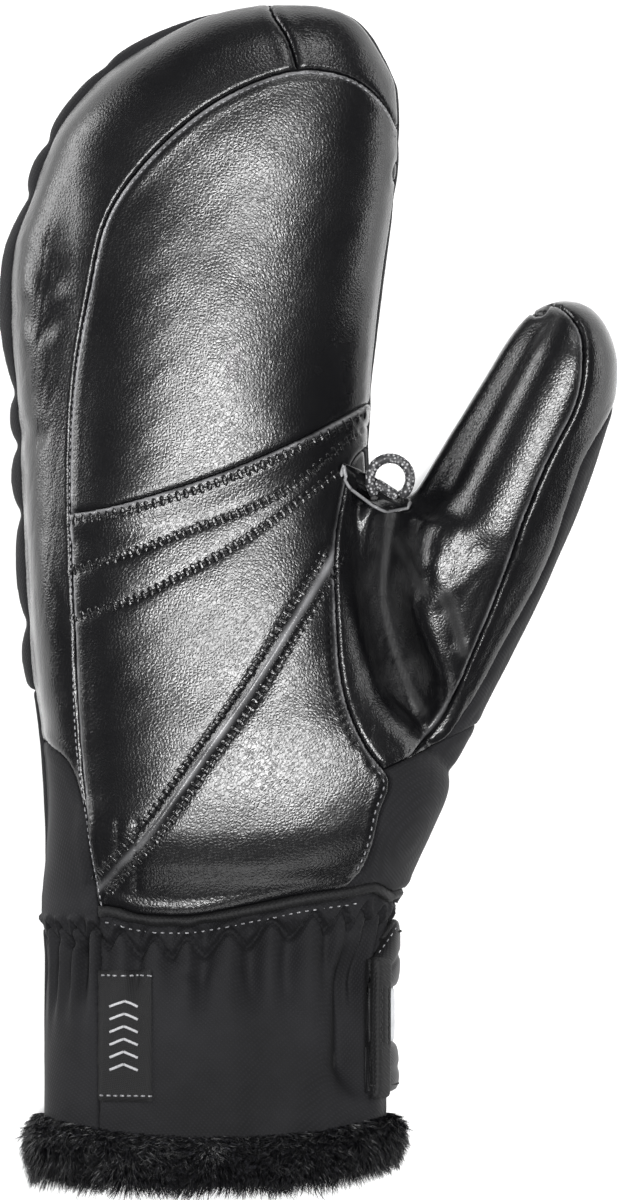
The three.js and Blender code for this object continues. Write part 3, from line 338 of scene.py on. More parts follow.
class Form:
    """The mitten's outer and inner surfaces as functions, before seams and folds."""

    def __init__(self) -> None:
        """Work out the thumb's directions and the valley beside it."""
        lean = math.radians(SIZE.thumb_lean_deg)
        self.thumb_axis = np.array([math.sin(lean), math.cos(lean)])
        self.thumb_out = np.array([math.cos(lean), -math.sin(lean)])
        self.valley = spline([hand_plan(*p) for p in VALLEY], 3.0)

    def body_at(self, y: Array) -> dict[str, Array]:
        """Extents of the hand or, below the wrist seam, of the cuff."""
        hand_at, cuff_at = y / SIZE.hand_length, -y / SIZE.cuff_length
        scale = {"left": -SIZE.hand_width, "right": SIZE.hand_width}
        return {
            name: np.where(y >= 0, HAND[name](hand_at), CUFF[name](cuff_at)) * scale.get(name, SIZE.hand_depth)
            for name in HAND
        }

    def front_squareness(self, y: Array) -> Array:
        """How square the palm's section is: the lower palm is flatter than the rest."""
        return FRONT_SQUARENESS + 1.1 * smoothstep(y, 2.0, 22.0) * (1 - smoothstep(y, 70.0, 130.0))

    def body(self, y: Array, angle: Array, side: Array, front: Array, back: Array) -> Array:
        """Points of the hand's section, the angle running from the thumb side over the palm.

        Args:
            y: Heights above the wrist seam.
            angle: Angles round the section.
            side: Growth sideways.
            front: Growth of the palm.
            back: Growth of the back.

        Returns:
            Points, one row each.
        """
        s = self.body_at(y)
        up = np.sin(angle)
        square = np.where(up >= 0, self.front_squareness(y), BACK_SQUARENESS)
        half = np.maximum((s["right"] - s["left"]) / 2 + side, 1.0)
        high = np.maximum(np.where(up >= 0, s["front"] - s["seam"] + front, s["seam"] - s["back"] + back), 1.0)
        x = (s["right"] + s["left"]) / 2 + half * np.sign(np.cos(angle)) * np.abs(np.cos(angle)) ** (2 / square)
        z = s["seam"] + high * np.sign(up) * np.abs(up) ** (2 / square)
        return np.stack([x, y + 0 * x, z], axis=-1)

    def evenly(self, y: Array, angle: Array, out: Array) -> Array:
        """Points of the hand's section grown evenly."""
        return self.body(y, angle, out, out, out)

    def quilt_at(self, y: Array) -> Array:
        """Padding of the back: 0 in a stitched channel, about 1 in the middle of a roll."""
        at = y / SIZE.hand_length
        rise = np.zeros_like(at)
        for low, high, top in zip(QUILT_CHANNELS[:-1], QUILT_CHANNELS[1:], QUILT_RISES):
            t = 2 * (at - low) / (high - low) - 1
            rise = np.where(np.abs(t) < 1, top * np.sqrt(np.clip(1 - t * t, 0, 1)), rise)
        return rise

    def skin(self, y: Array, angle: Array) -> Array:
        """Outside of the hand and cuff, with the rolls of the back."""
        under = smoothstep(-np.sin(angle), -0.05, 0.12)
        rise = SIZE.quilt_rise * self.quilt_at(y) * under
        points = self.body(y, angle, rise, 0 * rise, rise)
        points[..., 0] -= rise * SIZE.quilt_lean
        return points

    def angle_of(self, points: Array) -> Array:
        """Angle round the section of points near the surface."""
        s = self.body_at(points[:, 1])
        u = (points[:, 0] - (s["right"] + s["left"]) / 2) / ((s["right"] - s["left"]) / 2)
        up = points[:, 2] - s["seam"]
        w = np.where(up >= 0, up / (s["front"] - s["seam"]), up / (s["seam"] - s["back"]))
        square = np.where(up >= 0, self.front_squareness(points[:, 1]), BACK_SQUARENESS)
        return np.arctan2(np.sign(w) * np.abs(w) ** (square / 2), np.sign(u) * np.abs(u) ** (square / 2))

    def thumb_plan(self, across: Array, at: Array) -> Array:
        """Places in plan from the thumb's shares."""
        across, at = np.asarray(across, float)[..., None], np.asarray(at, float)[..., None]
        root = np.array(SIZE.thumb_root)
        return root + self.thumb_axis * at * SIZE.thumb_length + self.thumb_out * across * SIZE.thumb_width

    def thumb_shares(self, plan: Array) -> tuple[Array, Array]:
        """Across and along the thumb, in its own shares."""
        rel = plan - np.array(SIZE.thumb_root)
        return rel @ self.thumb_out / SIZE.thumb_width, rel @ self.thumb_axis / SIZE.thumb_length

    def thumb(self, at: Array, angle: Array, grow: float) -> Array:
        """Points of the thumb's section, the angle running from its outer side over its front."""
        half = np.maximum((THUMB["left"](at) + THUMB["right"](at)) / 2 * SIZE.thumb_width + grow, 0.8)
        middle = (THUMB["right"](at) - THUMB["left"](at)) / 2 * SIZE.thumb_width
        deep = np.maximum(THUMB["depth"](at) * SIZE.thumb_depth / 2 + grow, 0.8)
        plan = self.thumb_plan((middle + half * power(np.cos(angle), 0.92)) / SIZE.thumb_width, at)
        up = power(np.sin(angle), 0.92)
        away, _ = away_from(plan.reshape(-1, 2), self.valley)
        dent = np.where(up > 0, 8.0 * np.exp(-((away.reshape(up.shape) / 6.5) ** 2)) * up, 0)
        z = THUMB["middle"](at) * SIZE.hand_depth + deep * up - dent
        return np.concatenate([plan, z[..., None]], axis=-1)

    def thumb_seam_height(self, y: Array) -> Array:
        """Height of the seam between the thumb's front and back."""
        at = np.clip((y - SIZE.thumb_root[1]) / (SIZE.thumb_length * self.thumb_axis[1]), 0, 1)
        return THUMB["middle"](at) * SIZE.hand_depth - 0.1 * SIZE.thumb_depth


FORM = Form()
CROTCH = FORM.thumb_plan(np.array(-0.65), np.array(0.49))
SLEEVE_MIDDLE = CROTCH + np.array([0.1, 2.55])


def part_shift() -> Array:
    """Move from the hand's frame to the part's, read from pieces whose places are known in both."""
    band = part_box("reflective_band")
    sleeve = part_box("loop_sleeve")
    down = -SIZE.strap_top - SIZE.reflective_above - SIZE.fit_gap
    across = SLEEVE_MIDDLE[0]
    return np.array([(sleeve[0][0] + sleeve[1][0]) / 2 / MM - across, band[1][1] / MM - down, 0.0])


# Meshes


@dataclass
class Solid:
    """Vertices in millimetres in the hand's frame, with triangles or quads."""

    points: Array
    faces: Array

    def joined(self, other: "Solid") -> "Solid":
        """This mesh and another as one."""
        return Solid(np.vstack([self.points, other.points]), np.vstack([self.faces, other.faces + len(self.points)]))


def grid(points: Array, closed_u: bool = False, closed_v: bool = False) -> Solid:
    """Quads over a grid of points.

    Args:
        points: Rows of points.
        closed_u: Whether the last row joins the first.
        closed_v: Whether each row's last point joins its first.

    Returns:
        The mesh.
    """
    rows, cols = points.shape[:2]
    u = np.arange(rows if closed_u else rows - 1)[:, None]
    v = np.arange(cols if closed_v else cols - 1)[None, :]
    un, vn = (u + 1) % rows, (v + 1) % cols
    faces = np.stack(np.broadcast_arrays(u * cols + v, un * cols + v, un * cols + vn, u * cols + vn), axis=-1)
    return Solid(points.reshape(-1, 3), faces.reshape(-1, 4))


def capped(points: Array) -> Solid:
    """Closed mesh of quads through rings, with each end closed by a fan."""
    body = grid(points, closed_v=True)
    rows, cols = points.shape[:2]
    ends = points[[0, -1]].mean(axis=1)
    first, last = rows * cols, rows * cols + 1
    j = np.arange(cols)
    k = (j + 1) % cols
    base = (rows - 1) * cols
    fans = np.vstack([
        np.column_stack([np.full(cols, first), j, k, k]),
        np.column_stack([np.full(cols, last), base + k, base + j, base + j]),
    ])
    return Solid(np.vstack([body.points, ends]), np.vstack([body.faces, fans]))


def mesh_from(name: str, points: Array, faces: Array) -> bpy.types.Mesh:
    """Blender mesh from points in metres and faces, a repeated last corner making a triangle."""
    mesh = bpy.data.meshes.new(name)
    rows = [tuple(dict.fromkeys(map(int, f))) for f in faces]
    mesh.from_pydata(points.tolist(), [], rows)
    mesh.update()
    return mesh


def fused(solid: Solid, voxel: float) -> tuple[Array, Array]:
    """Union of closed bodies as one even skin of triangles.

    Args:
        solid: Closed bodies that may run through each other.
        voxel: Size of the skin's faces in millimetres.

    Returns:
        Points and triangles.
    """
    mesh = mesh_from("fusing", solid.points, solid.faces)
    piece = bpy.data.objects.new("fusing", mesh)
    bpy.context.collection.objects.link(piece)
    step = piece.modifiers.new("fuse", "REMESH")
    step.mode = "VOXEL"
    step.voxel_size = voxel
    done = piece.evaluated_get(bpy.context.evaluated_depsgraph_get()).to_mesh()
    done.calc_loop_triangles()
    points = np.empty(len(done.vertices) * 3)
    done.vertices.foreach_get("co", points)
    tris = np.empty(len(done.loop_triangles) * 3, np.int32)
    done.loop_triangles.foreach_get("vertices", tris)
    bpy.data.objects.remove(piece)
    bpy.data.meshes.remove(mesh)
    return points.reshape(-1, 3), tris.reshape(-1, 3)


def edges_of(tris: Array) -> Array:
    """Each edge once."""
    pairs = np.sort(np.vstack([tris[:, [0, 1]], tris[:, [1, 2]], tris[:, [2, 0]]]), axis=1)
    return np.unique(pairs, axis=0)


def relaxed(points: Array, tris: Array, rounds: int, pull: float = 0.5) -> Array:
    """Points moved towards the middle of their neighbours."""
    e = edges_of(tris)
    a, b = e[:, 0], e[:, 1]
    count = np.bincount(np.concatenate([a, b]), minlength=len(points)).astype(float)
    p = points.copy()
    for _ in range(rounds):
        total = np.column_stack([
            np.bincount(a, p[b, k], len(p)) + np.bincount(b, p[a, k], len(p)) for k in range(3)
        ])
        p += pull * (total / np.maximum(count, 1)[:, None] - p)
    return p


def normals_of(points: Array, tris: Array) -> Array:
    """Unit normal at each point."""
    a, b, c = (points[tris[:, k]] for k in range(3))
    n = np.cross(b - a, c - a)
    total = np.column_stack([
        sum(np.bincount(tris[:, k], n[:, j], len(points)) for k in range(3)) for j in range(3)
    ])
    return total / np.maximum(np.linalg.norm(total, axis=1), 1e-12)[:, None]


def cut(points: Array, tris: Array, labels: Array, where: Array, values: Array, label: int) -> tuple[Array, ...]:
    """Cut some triangles along the zero line of a value, and label those on its positive side.

    Args:
        points: Points of the mesh.
        tris: Its triangles.
        labels: One label for each triangle.
        where: Which triangles are cut.
        values: The value at each point.
        label: The label for the positive side.

    Returns:
        New points, triangles and labels.
    """
    v = np.where(np.abs(values) < 0.08, 0.0, values)
    corners = [(0, 1), (1, 2), (2, 0)]
    pairs = np.stack([np.sort(tris[:, list(c)], axis=1) for c in corners], axis=1)
    keys = pairs[..., 0].astype(np.int64) * len(points) + pairs[..., 1]
    crossing = (v[pairs[..., 0]] * v[pairs[..., 1]] < 0) & where[:, None]
    split = np.unique(keys[crossing])
    hit = np.isin(keys, split)
    a, b = split // len(points), split % len(points)
    t = (v[a] / (v[a] - v[b]))[:, None]
    fresh = points[a] + (points[b] - points[a]) * t
    ids = len(points) + np.searchsorted(split, keys)
    side = v[tris]
    plain = ~hit.any(axis=1)
    new_tris, new_labels = [tris[plain]], []
    above = side[plain].sum(axis=1) > 0
    new_labels.append(np.where(where[plain] & above, label, labels[plain]))
    count = hit.sum(axis=1)
    wide = np.concatenate([v, np.zeros(len(fresh))])

    def keep(made: Array, rows: Array) -> None:
        """Add the triangles made from some rows."""
        up = wide[made].sum(axis=1) > 0
        new_tris.append(made)
        new_labels.append(np.where(where[rows] & up, label, labels[rows]))

    for turn in range(3):
        i, j, k = turn, (turn + 1) % 3, (turn + 2) % 3
        rows = np.flatnonzero((count == 1) & hit[:, i])
        m = ids[rows, i]
        keep(np.column_stack([tris[rows, i], m, tris[rows, k]]), rows)
        keep(np.column_stack([m, tris[rows, j], tris[rows, k]]), rows)
        rows = np.flatnonzero((count == 2) & hit[:, i] & hit[:, k])
        m, n = ids[rows, i], ids[rows, k]
        keep(np.column_stack([tris[rows, i], m, n]), rows)
        keep(np.column_stack([m, tris[rows, j], tris[rows, k]]), rows)
        keep(np.column_stack([m, tris[rows, k], n]), rows)
    rows = np.flatnonzero(count == 3)
    m, n, q = ids[rows, 0], ids[rows, 1], ids[rows, 2]
    keep(np.column_stack([tris[rows, 0], m, q]), rows)
    keep(np.column_stack([m, tris[rows, 1], n]), rows)
    keep(np.column_stack([q, n, tris[rows, 2]]), rows)
    keep(np.column_stack([m, n, q]), rows)
    return np.vstack([points, fresh]), np.vstack(new_tris), np.concatenate(new_labels)


def nearest(points: Array, samples: Array, reach: float) -> Array:
    """Distance from each point to the nearest sample, no more than a reach."""
    out = np.full(len(points), reach)
    if not len(samples):
        return out
    low, high = samples.min(0) - reach, samples.max(0) + reach
    rows = np.flatnonzero(((points > low) & (points < high)).all(axis=1))
    tree = KDTree(len(samples))
    for i, s in enumerate(samples.tolist()):
        tree.insert(s, i)
    tree.balance()
    find = tree.find
    out[rows] = [min(find(p)[2], reach) for p in points[rows].tolist()]
    return out


# Finishes


def linear(code: str) -> tuple[float, float, float, float]:
    """Linear colour from an sRGB hex value."""
    parts = [int(code[i:i + 2], 16) / 255 for i in (1, 3, 5)]
    return (*(c / 12.92 if c <= 0.04045 else ((c + 0.055) / 1.055) ** 2.4 for c in parts), 1.0)


def add_node(tree: bpy.types.NodeTree, kind: str, settings: dict | None = None, **inputs: object) -> bpy.types.Node:
    """Add a node with its settings, and set or link its inputs.

    Args:
        tree: The material's nodes.
        kind: The node's type.
        settings: Properties of the node itself.
        **inputs: Inputs by name, with _ for a space, or by i and a number, each a value or another node's output.

    Returns:
        The node.
    """
    node = tree.nodes.new(kind)
    for name, value in (settings or {}).items():
        setattr(node, name, value)
    for name, value in inputs.items():
        key = int(name[1:]) if name[0] == "i" and name[1:].isdigit() else name.replace("_", " ")
        if isinstance(value, bpy.types.NodeSocket):
            tree.links.new(value, node.inputs[key])
        else:
            node.inputs[key].default_value = value
    return node


@dataclass(frozen=True)
class Finish:
    """What every finish shares: its name, colour and gloss."""

    name: str
    colour: str
    roughness: float
    sheen: float = 0.0
    coat: float = 0.0
    ior: float = 1.5

    def material(self) -> bpy.types.Material:
        """The material, made once."""
        made = bpy.data.materials.get(self.name)
        if made:
            return made
        made = bpy.data.materials.new(self.name)
        made.use_nodes = True
        made.diffuse_color = linear(self.colour)
        tree = made.node_tree
        tree.nodes.clear()
        shader = add_node(tree, "ShaderNodeBsdfPrincipled", None, Base_Color=linear(self.colour),
                          Roughness=self.roughness, IOR=self.ior, Sheen_Weight=self.sheen,
                          Sheen_Roughness=0.5, Coat_Weight=self.coat, Coat_Roughness=0.3)
        out = add_node(tree, "ShaderNodeOutputMaterial", None, Surface=shader.outputs[0])
        out.location = (300, 0)
        self.dress(tree, shader)
        return made

    def dress(self, tree: bpy.types.NodeTree, shader: bpy.types.Node) -> None:
        """Add the pattern. A plain finish has none."""

    def place(self, tree: bpy.types.NodeTree) -> bpy.types.NodeSocket:
        """Coordinates fixed to the piece, in metres."""
        return add_node(tree, "ShaderNodeTexCoord").outputs["Object"]

    def tinted(self, tree: bpy.types.NodeTree, amount: bpy.types.NodeSocket, low: str, high: str) -> object:
        """Colour between two hex values by an amount from 0 to 1."""
        mix = add_node(tree, "ShaderNodeMix", {"data_type": "RGBA"})
        tree.links.new(amount, mix.inputs[0])
        mix.inputs[6].default_value = linear(low)
        mix.inputs[7].default_value = linear(high)
        return mix.outputs[2]

    def ranged(self, tree: bpy.types.NodeTree, value: bpy.types.NodeSocket, span: Sequence[float]) -> object:
        """Value moved from one range to another, given as from low, from high, to low and to high."""
        node = add_node(tree, "ShaderNodeMapRange", None, Value=value, From_Min=span[0], From_Max=span[1],
                        To_Min=span[2], To_Max=span[3])
        return node.outputs[0]


@dataclass(frozen=True)
class PebbledLeather(Finish):
    """Chrome-tanned cowhide, embossed with a fine pebble and finished with a soft wax."""

    grain_mm: float = 0.85
    # Colour of the paler seam edges: partly rubbed wear, partly a painted highlight.
    worn: str = "#8c8c8e"

    def dress(self, tree: bpy.types.NodeTree, shader: bpy.types.Node) -> None:
        """Pebbles between thin creases break each highlight into fine grains, as embossed hide does."""
        place = self.place(tree)
        warp = add_node(tree, "ShaderNodeTexNoise", None, Vector=place, Scale=420.0, Detail=2.0)
        bent = add_node(tree, "ShaderNodeVectorMath", {"operation": "MULTIPLY_ADD"}, i0=warp.outputs["Color"],
                        i1=(0.0009, 0.0009, 0.0009), i2=place)
        pebble = add_node(tree, "ShaderNodeTexVoronoi", {"feature": "DISTANCE_TO_EDGE"},
                          Vector=bent.outputs[0], Scale=1 / (self.grain_mm * MM))
        dome = self.ranged(tree, pebble.outputs["Distance"], (0.0, 0.32, 0.0, 1.0))
        # Broader creases, about 5 mm apart, where the hide has been bent.
        crease = add_node(tree, "ShaderNodeTexNoise", {"noise_type": "RIDGED_MULTIFRACTAL"}, Vector=place,
                          Scale=150.0, Detail=3.0)
        height = add_node(tree, "ShaderNodeMath", {"operation": "MULTIPLY_ADD"}, i0=crease.outputs[0], i1=-0.1,
                          i2=dome)
        bump = add_node(tree, "ShaderNodeBump", None, Strength=0.65, Distance=0.000045, Height=height.outputs[0])
        tree.links.new(bump.outputs[0], shader.inputs["Normal"])
        cloud = add_node(tree, "ShaderNodeTexNoise", None, Vector=place, Scale=60.0, Detail=4.0)
        # Deep in a fold the hide keeps its dust, and shows no gloss.
        dull = add_node(tree, "ShaderNodeAttribute", {"attribute_name": "dull"}).outputs["Fac"]
        rough = add_node(tree, "ShaderNodeMath", {"operation": "MULTIPLY_ADD", "use_clamp": True}, i0=dull, i1=0.5,
                         i2=self.ranged(tree, cloud.outputs[0],
                                        (0.3, 0.7, self.roughness - 0.02, self.roughness + 0.03)))
        tree.links.new(rough.outputs[0], shader.inputs["Roughness"])
        # Folded edges are painted paler, partly as rubbed wear and partly as a painted highlight on their crowns, and
        # the stitched creases keep the full black.
        edge = add_node(tree, "ShaderNodeAttribute", {"attribute_name": "worn"}).outputs["Fac"]
        edge_wear_and_highlight = add_node(tree, "ShaderNodeMath", {"operation": "MULTIPLY"}, i0=edge,
                         i1=self.ranged(tree, cloud.outputs[0], (0.35, 0.6, 0.5, 1.0)))
        tree.links.new(self.tinted(tree, edge_wear_and_highlight.outputs[0], self.colour, self.worn), shader.inputs["Base Color"])


@dataclass(frozen=True)
class Woven(Finish):
    """Polyester or nylon cloth, woven in two sets of threads that cross."""

    thread_mm: float = 0.8
    pale: str = "#323236"
    turn_deg: float = 45.0
    depth: float = 0.00012
    patchy: float = 45.0

    def dress(self, tree: bpy.types.NodeTree, shader: bpy.types.Node) -> None:
        """Crossing threads catch the light at their crowns and go dark between, so the cloth looks matt."""
        turned = add_node(tree, "ShaderNodeMapping", None, Vector=self.place(tree),
                          Rotation=(0.5, 0.35, math.radians(self.turn_deg)))
        # One wave of Blender's bands is a fifth of its unit long at a scale of 1, hence the factor of pi over 10.
        scale = math.pi / 10 / (self.thread_mm * MM)
        bands = [
            add_node(tree, "ShaderNodeTexWave", {"bands_direction": way}, Vector=turned.outputs[0], Scale=scale,
                     Distortion=0.6, Detail=1.0)
            for way in ("X", "Y")
        ]
        cross = add_node(tree, "ShaderNodeMath", {"operation": "MULTIPLY"}, i0=bands[0].outputs["Fac"],
                         i1=bands[1].outputs["Fac"])
        bump = add_node(tree, "ShaderNodeBump", None, Strength=0.6, Distance=self.depth, Height=cross.outputs[0])
        tree.links.new(bump.outputs[0], shader.inputs["Normal"])
        cloud = add_node(tree, "ShaderNodeTexNoise", None, Vector=self.place(tree), Scale=self.patchy, Detail=5.0,
                         Roughness=0.65)
        # Thread crowns are painted paler and the gaps between them darker, a painted highlight and shade on top of
        # the bump, mixed with random mottling.
        both = add_node(tree, "ShaderNodeMath", {"operation": "MULTIPLY_ADD"}, i0=cross.outputs[0], i1=0.3,
                        i2=self.ranged(tree, cloud.outputs[0], (0.3, 0.75, 0.0, 0.45)))
        # Seam edges are painted paler, partly as wear and partly as a painted highlight.
        edge = add_node(tree, "ShaderNodeAttribute", {"attribute_name": "worn"}).outputs["Fac"]
        amount = add_node(tree, "ShaderNodeMath", {"operation": "ADD", "use_clamp": True}, i0=both.outputs[0],
                          i1=edge)
        tree.links.new(self.tinted(tree, amount.outputs[0], self.colour, self.pale), shader.inputs["Base Color"])


@dataclass(frozen=True)
class Pile(Finish):
    """Acrylic pile, knitted and brushed out into long soft hairs."""

    tip: str = "#26262a"

    def dress(self, tree: bpy.types.NodeTree, shader: bpy.types.Node) -> None:
        """Hairs differ a little, so the pile reads as strands and not as one dark mass."""
        cloud = add_node(tree, "ShaderNodeTexNoise", None, Vector=self.place(tree), Scale=900.0, Detail=1.0)
        amount = self.ranged(tree, cloud.outputs[0], (0.5, 0.74, 0.0, 1.0))
        tree.links.new(self.tinted(tree, amount, self.colour, self.tip), shader.inputs["Base Color"])


@dataclass(frozen=True)
class Braid(Finish):
    """Nylon cord, braided from dark and pale yarns round a core."""

    yarn_mm: float = 0.8
    pale: str = "#8a8a8c"

    def dress(self, tree: bpy.types.NodeTree, shader: bpy.types.Node) -> None:
        """Pale yarns come up as flecks between dark ones."""
        place = self.place(tree)
        fleck = add_node(tree, "ShaderNodeTexVoronoi", {"feature": "F1"}, Vector=place,
                         Scale=1 / (self.yarn_mm * MM))
        amount = self.ranged(tree, fleck.outputs["Distance"], (0.15, 0.5, 1.0, 0.0))
        tree.links.new(self.tinted(tree, amount, self.colour, self.pale), shader.inputs["Base Color"])
        bump = add_node(tree, "ShaderNodeBump", {"invert": True}, Strength=0.8, Distance=0.0002,
                        Height=fleck.outputs["Distance"])
        tree.links.new(bump.outputs[0], shader.inputs["Normal"])


@dataclass(frozen=True)
class SweepPaper(Finish):
    """Matt white background paper, lit a little from behind, which gives an even pale ground."""

    glow: float = 0.3

    def dress(self, tree: bpy.types.NodeTree, shader: bpy.types.Node) -> None:
        """Faint fibres keep the paper from being a flat tone."""
        cloud = add_node(tree, "ShaderNodeTexNoise", None, Vector=self.place(tree), Scale=30.0, Detail=3.0)
        amount = self.ranged(tree, cloud.outputs[0], (0.3, 0.7, 0.0, 1.0))
        tree.links.new(self.tinted(tree, amount, self.colour, "#fdfdfd"), shader.inputs["Base Color"])
        shader.inputs["Emission Color"].default_value = linear("#ffffff")
        shader.inputs["Emission Strength"].default_value = self.glow


class Finishes(Enum):
    """The mitten's finishes."""

    LEATHER = PebbledLeather("pebbled cowhide", "#08080a", 0.27)
    SOFTSHELL = Woven("stretch softshell", "#0b0b0d", 0.78, sheen=0.008, ior=1.3, pale="#232326")
    BINDING = Woven("folded softshell binding", "#070708", 0.68, sheen=0.01, ior=1.36, pale="#18181a")
    LINING = Woven("brushed fleece lining", "#0c0c0d", 0.95, sheen=0.05, ior=1.3, pale="#1c1c1f", thread_mm=1.2)
    WEBBING = Woven("ribbed nylon webbing", "#060607", 0.6, sheen=0.01, ior=1.36, pale="#1b1b1e", turn_deg=0.0,
                    thread_mm=0.7)
    PALE_BAND = Woven("pale woven tape", "#a4a6a9", 0.6, pale="#dfe1e3", turn_deg=0.0, thread_mm=0.6,
                      patchy=120.0)
    LABEL = Woven("woven damask label", "#060607", 0.7, ior=1.35, pale="#151517", turn_deg=0.0, thread_mm=0.5)
    MARK = Woven("grey damask weft", "#8a8a8d", 0.7, pale="#c4c4c6", turn_deg=0.0, thread_mm=0.5)
    THREAD = Braid("bonded nylon thread", "#060607", 0.8, yarn_mm=0.5, pale="#1a1a1c")
    PALE_THREAD = Braid("pale bonded thread", "#6c6c6f", 0.5, yarn_mm=0.5, pale="#b4b4b6")
    CORD = Braid("braided nylon cord", "#2c2c2e", 0.5, pale="#b4b4b6")
    PILE = Pile("acrylic pile", "#020203", 0.36, ior=1.31, tip="#26262a")
    PAPER = SweepPaper("background paper", "#f7f7f7", 0.9)


class Maker:
    """Turns meshes in millimetres into pieces that ride on the part."""

    def __init__(self) -> None:
        """Read the part's place."""
        self.shift = part_shift()

    def place(self, points: Array) -> Array:
        """Points in the part's frame, in metres, never below the surface that the part lies on."""
        moved = (points + self.shift) * MM
        moved[:, 2] = np.maximum(moved[:, 2], 0.00002)
        return moved

    def piece(self, name: str, solid: Solid, finish: Finishes, slot: str, nodes: Iterable[str] = (),
              worn: Array | None = None, dull: Array | None = None) -> bpy.types.Object:
        """Make a piece, dress it and let it stand for its solids.

        Args:
            name: The piece's name.
            solid: Its mesh in millimetres.
            finish: Its finish.
            slot: The record's material slot; not used.
            nodes: The solids that it replaces.
            worn: How pale its surface is at each point, from 0 to 1.
            dull: How far its gloss is lost at each point, from 0 to 1.

        Returns:
            The piece.
        """
        mesh = mesh_from(name, self.place(solid.points), solid.faces)
        for kind, values in (("worn", worn), ("dull", dull)):
            if values is not None:
                layer = mesh.attributes.new(kind, "FLOAT", "POINT")
                layer.data.foreach_set("value", np.asarray(values, np.float32))
        mesh.polygons.foreach_set("use_smooth", [True] * len(mesh.polygons))
        mesh.materials.append(finish.value.material())
        obj = bpy.data.objects.new(name, mesh)
        bpy.context.collection.objects.link(obj)
        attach(obj, "root")
        for node in nodes:
            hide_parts(node)
        LOG.info("%s: %d faces", name, len(mesh.polygons))
        return obj


MAKER = Maker()


# The sewn skin of hand, thumb and cuff


class Panel(Enum):
    """Panels of the skin, by the name of the solid that each stands for."""

    palm_upper = 0
    palm_overlay = 1
    finger_gusset = 2
    tip_gusset = 3
    side_panel = 4
    quilted_back = 5
    back_yoke = 6
    thumb_front = 7
    thumb_side = 8
    thumb_back = 9
    heel_panel = 10
    cuff_front = 11
    cuff_back = 12
    wrist_binding = 13


LEATHERS = {Panel.palm_upper, Panel.palm_overlay, Panel.finger_gusset, Panel.tip_gusset, Panel.thumb_front,
            Panel.thumb_side}


@dataclass(frozen=True)
class Fold:
    """A crease or ridge in the skin: its line in plan, its depth (negative for a ridge), width and bottom."""

    points: tuple[tuple[float, float], ...]
    depth: float
    width: float
    sharp: bool = False


@dataclass(frozen=True)
class Stitching:
    """A row of stitches along a line in plan on the palm side, or a line in space."""

    line: Array
    pitch: float = 2.0
    long: float = 0.6
    thick: float = 0.24
    finish: Finishes = Finishes.THREAD
    furrow: float = 0.3


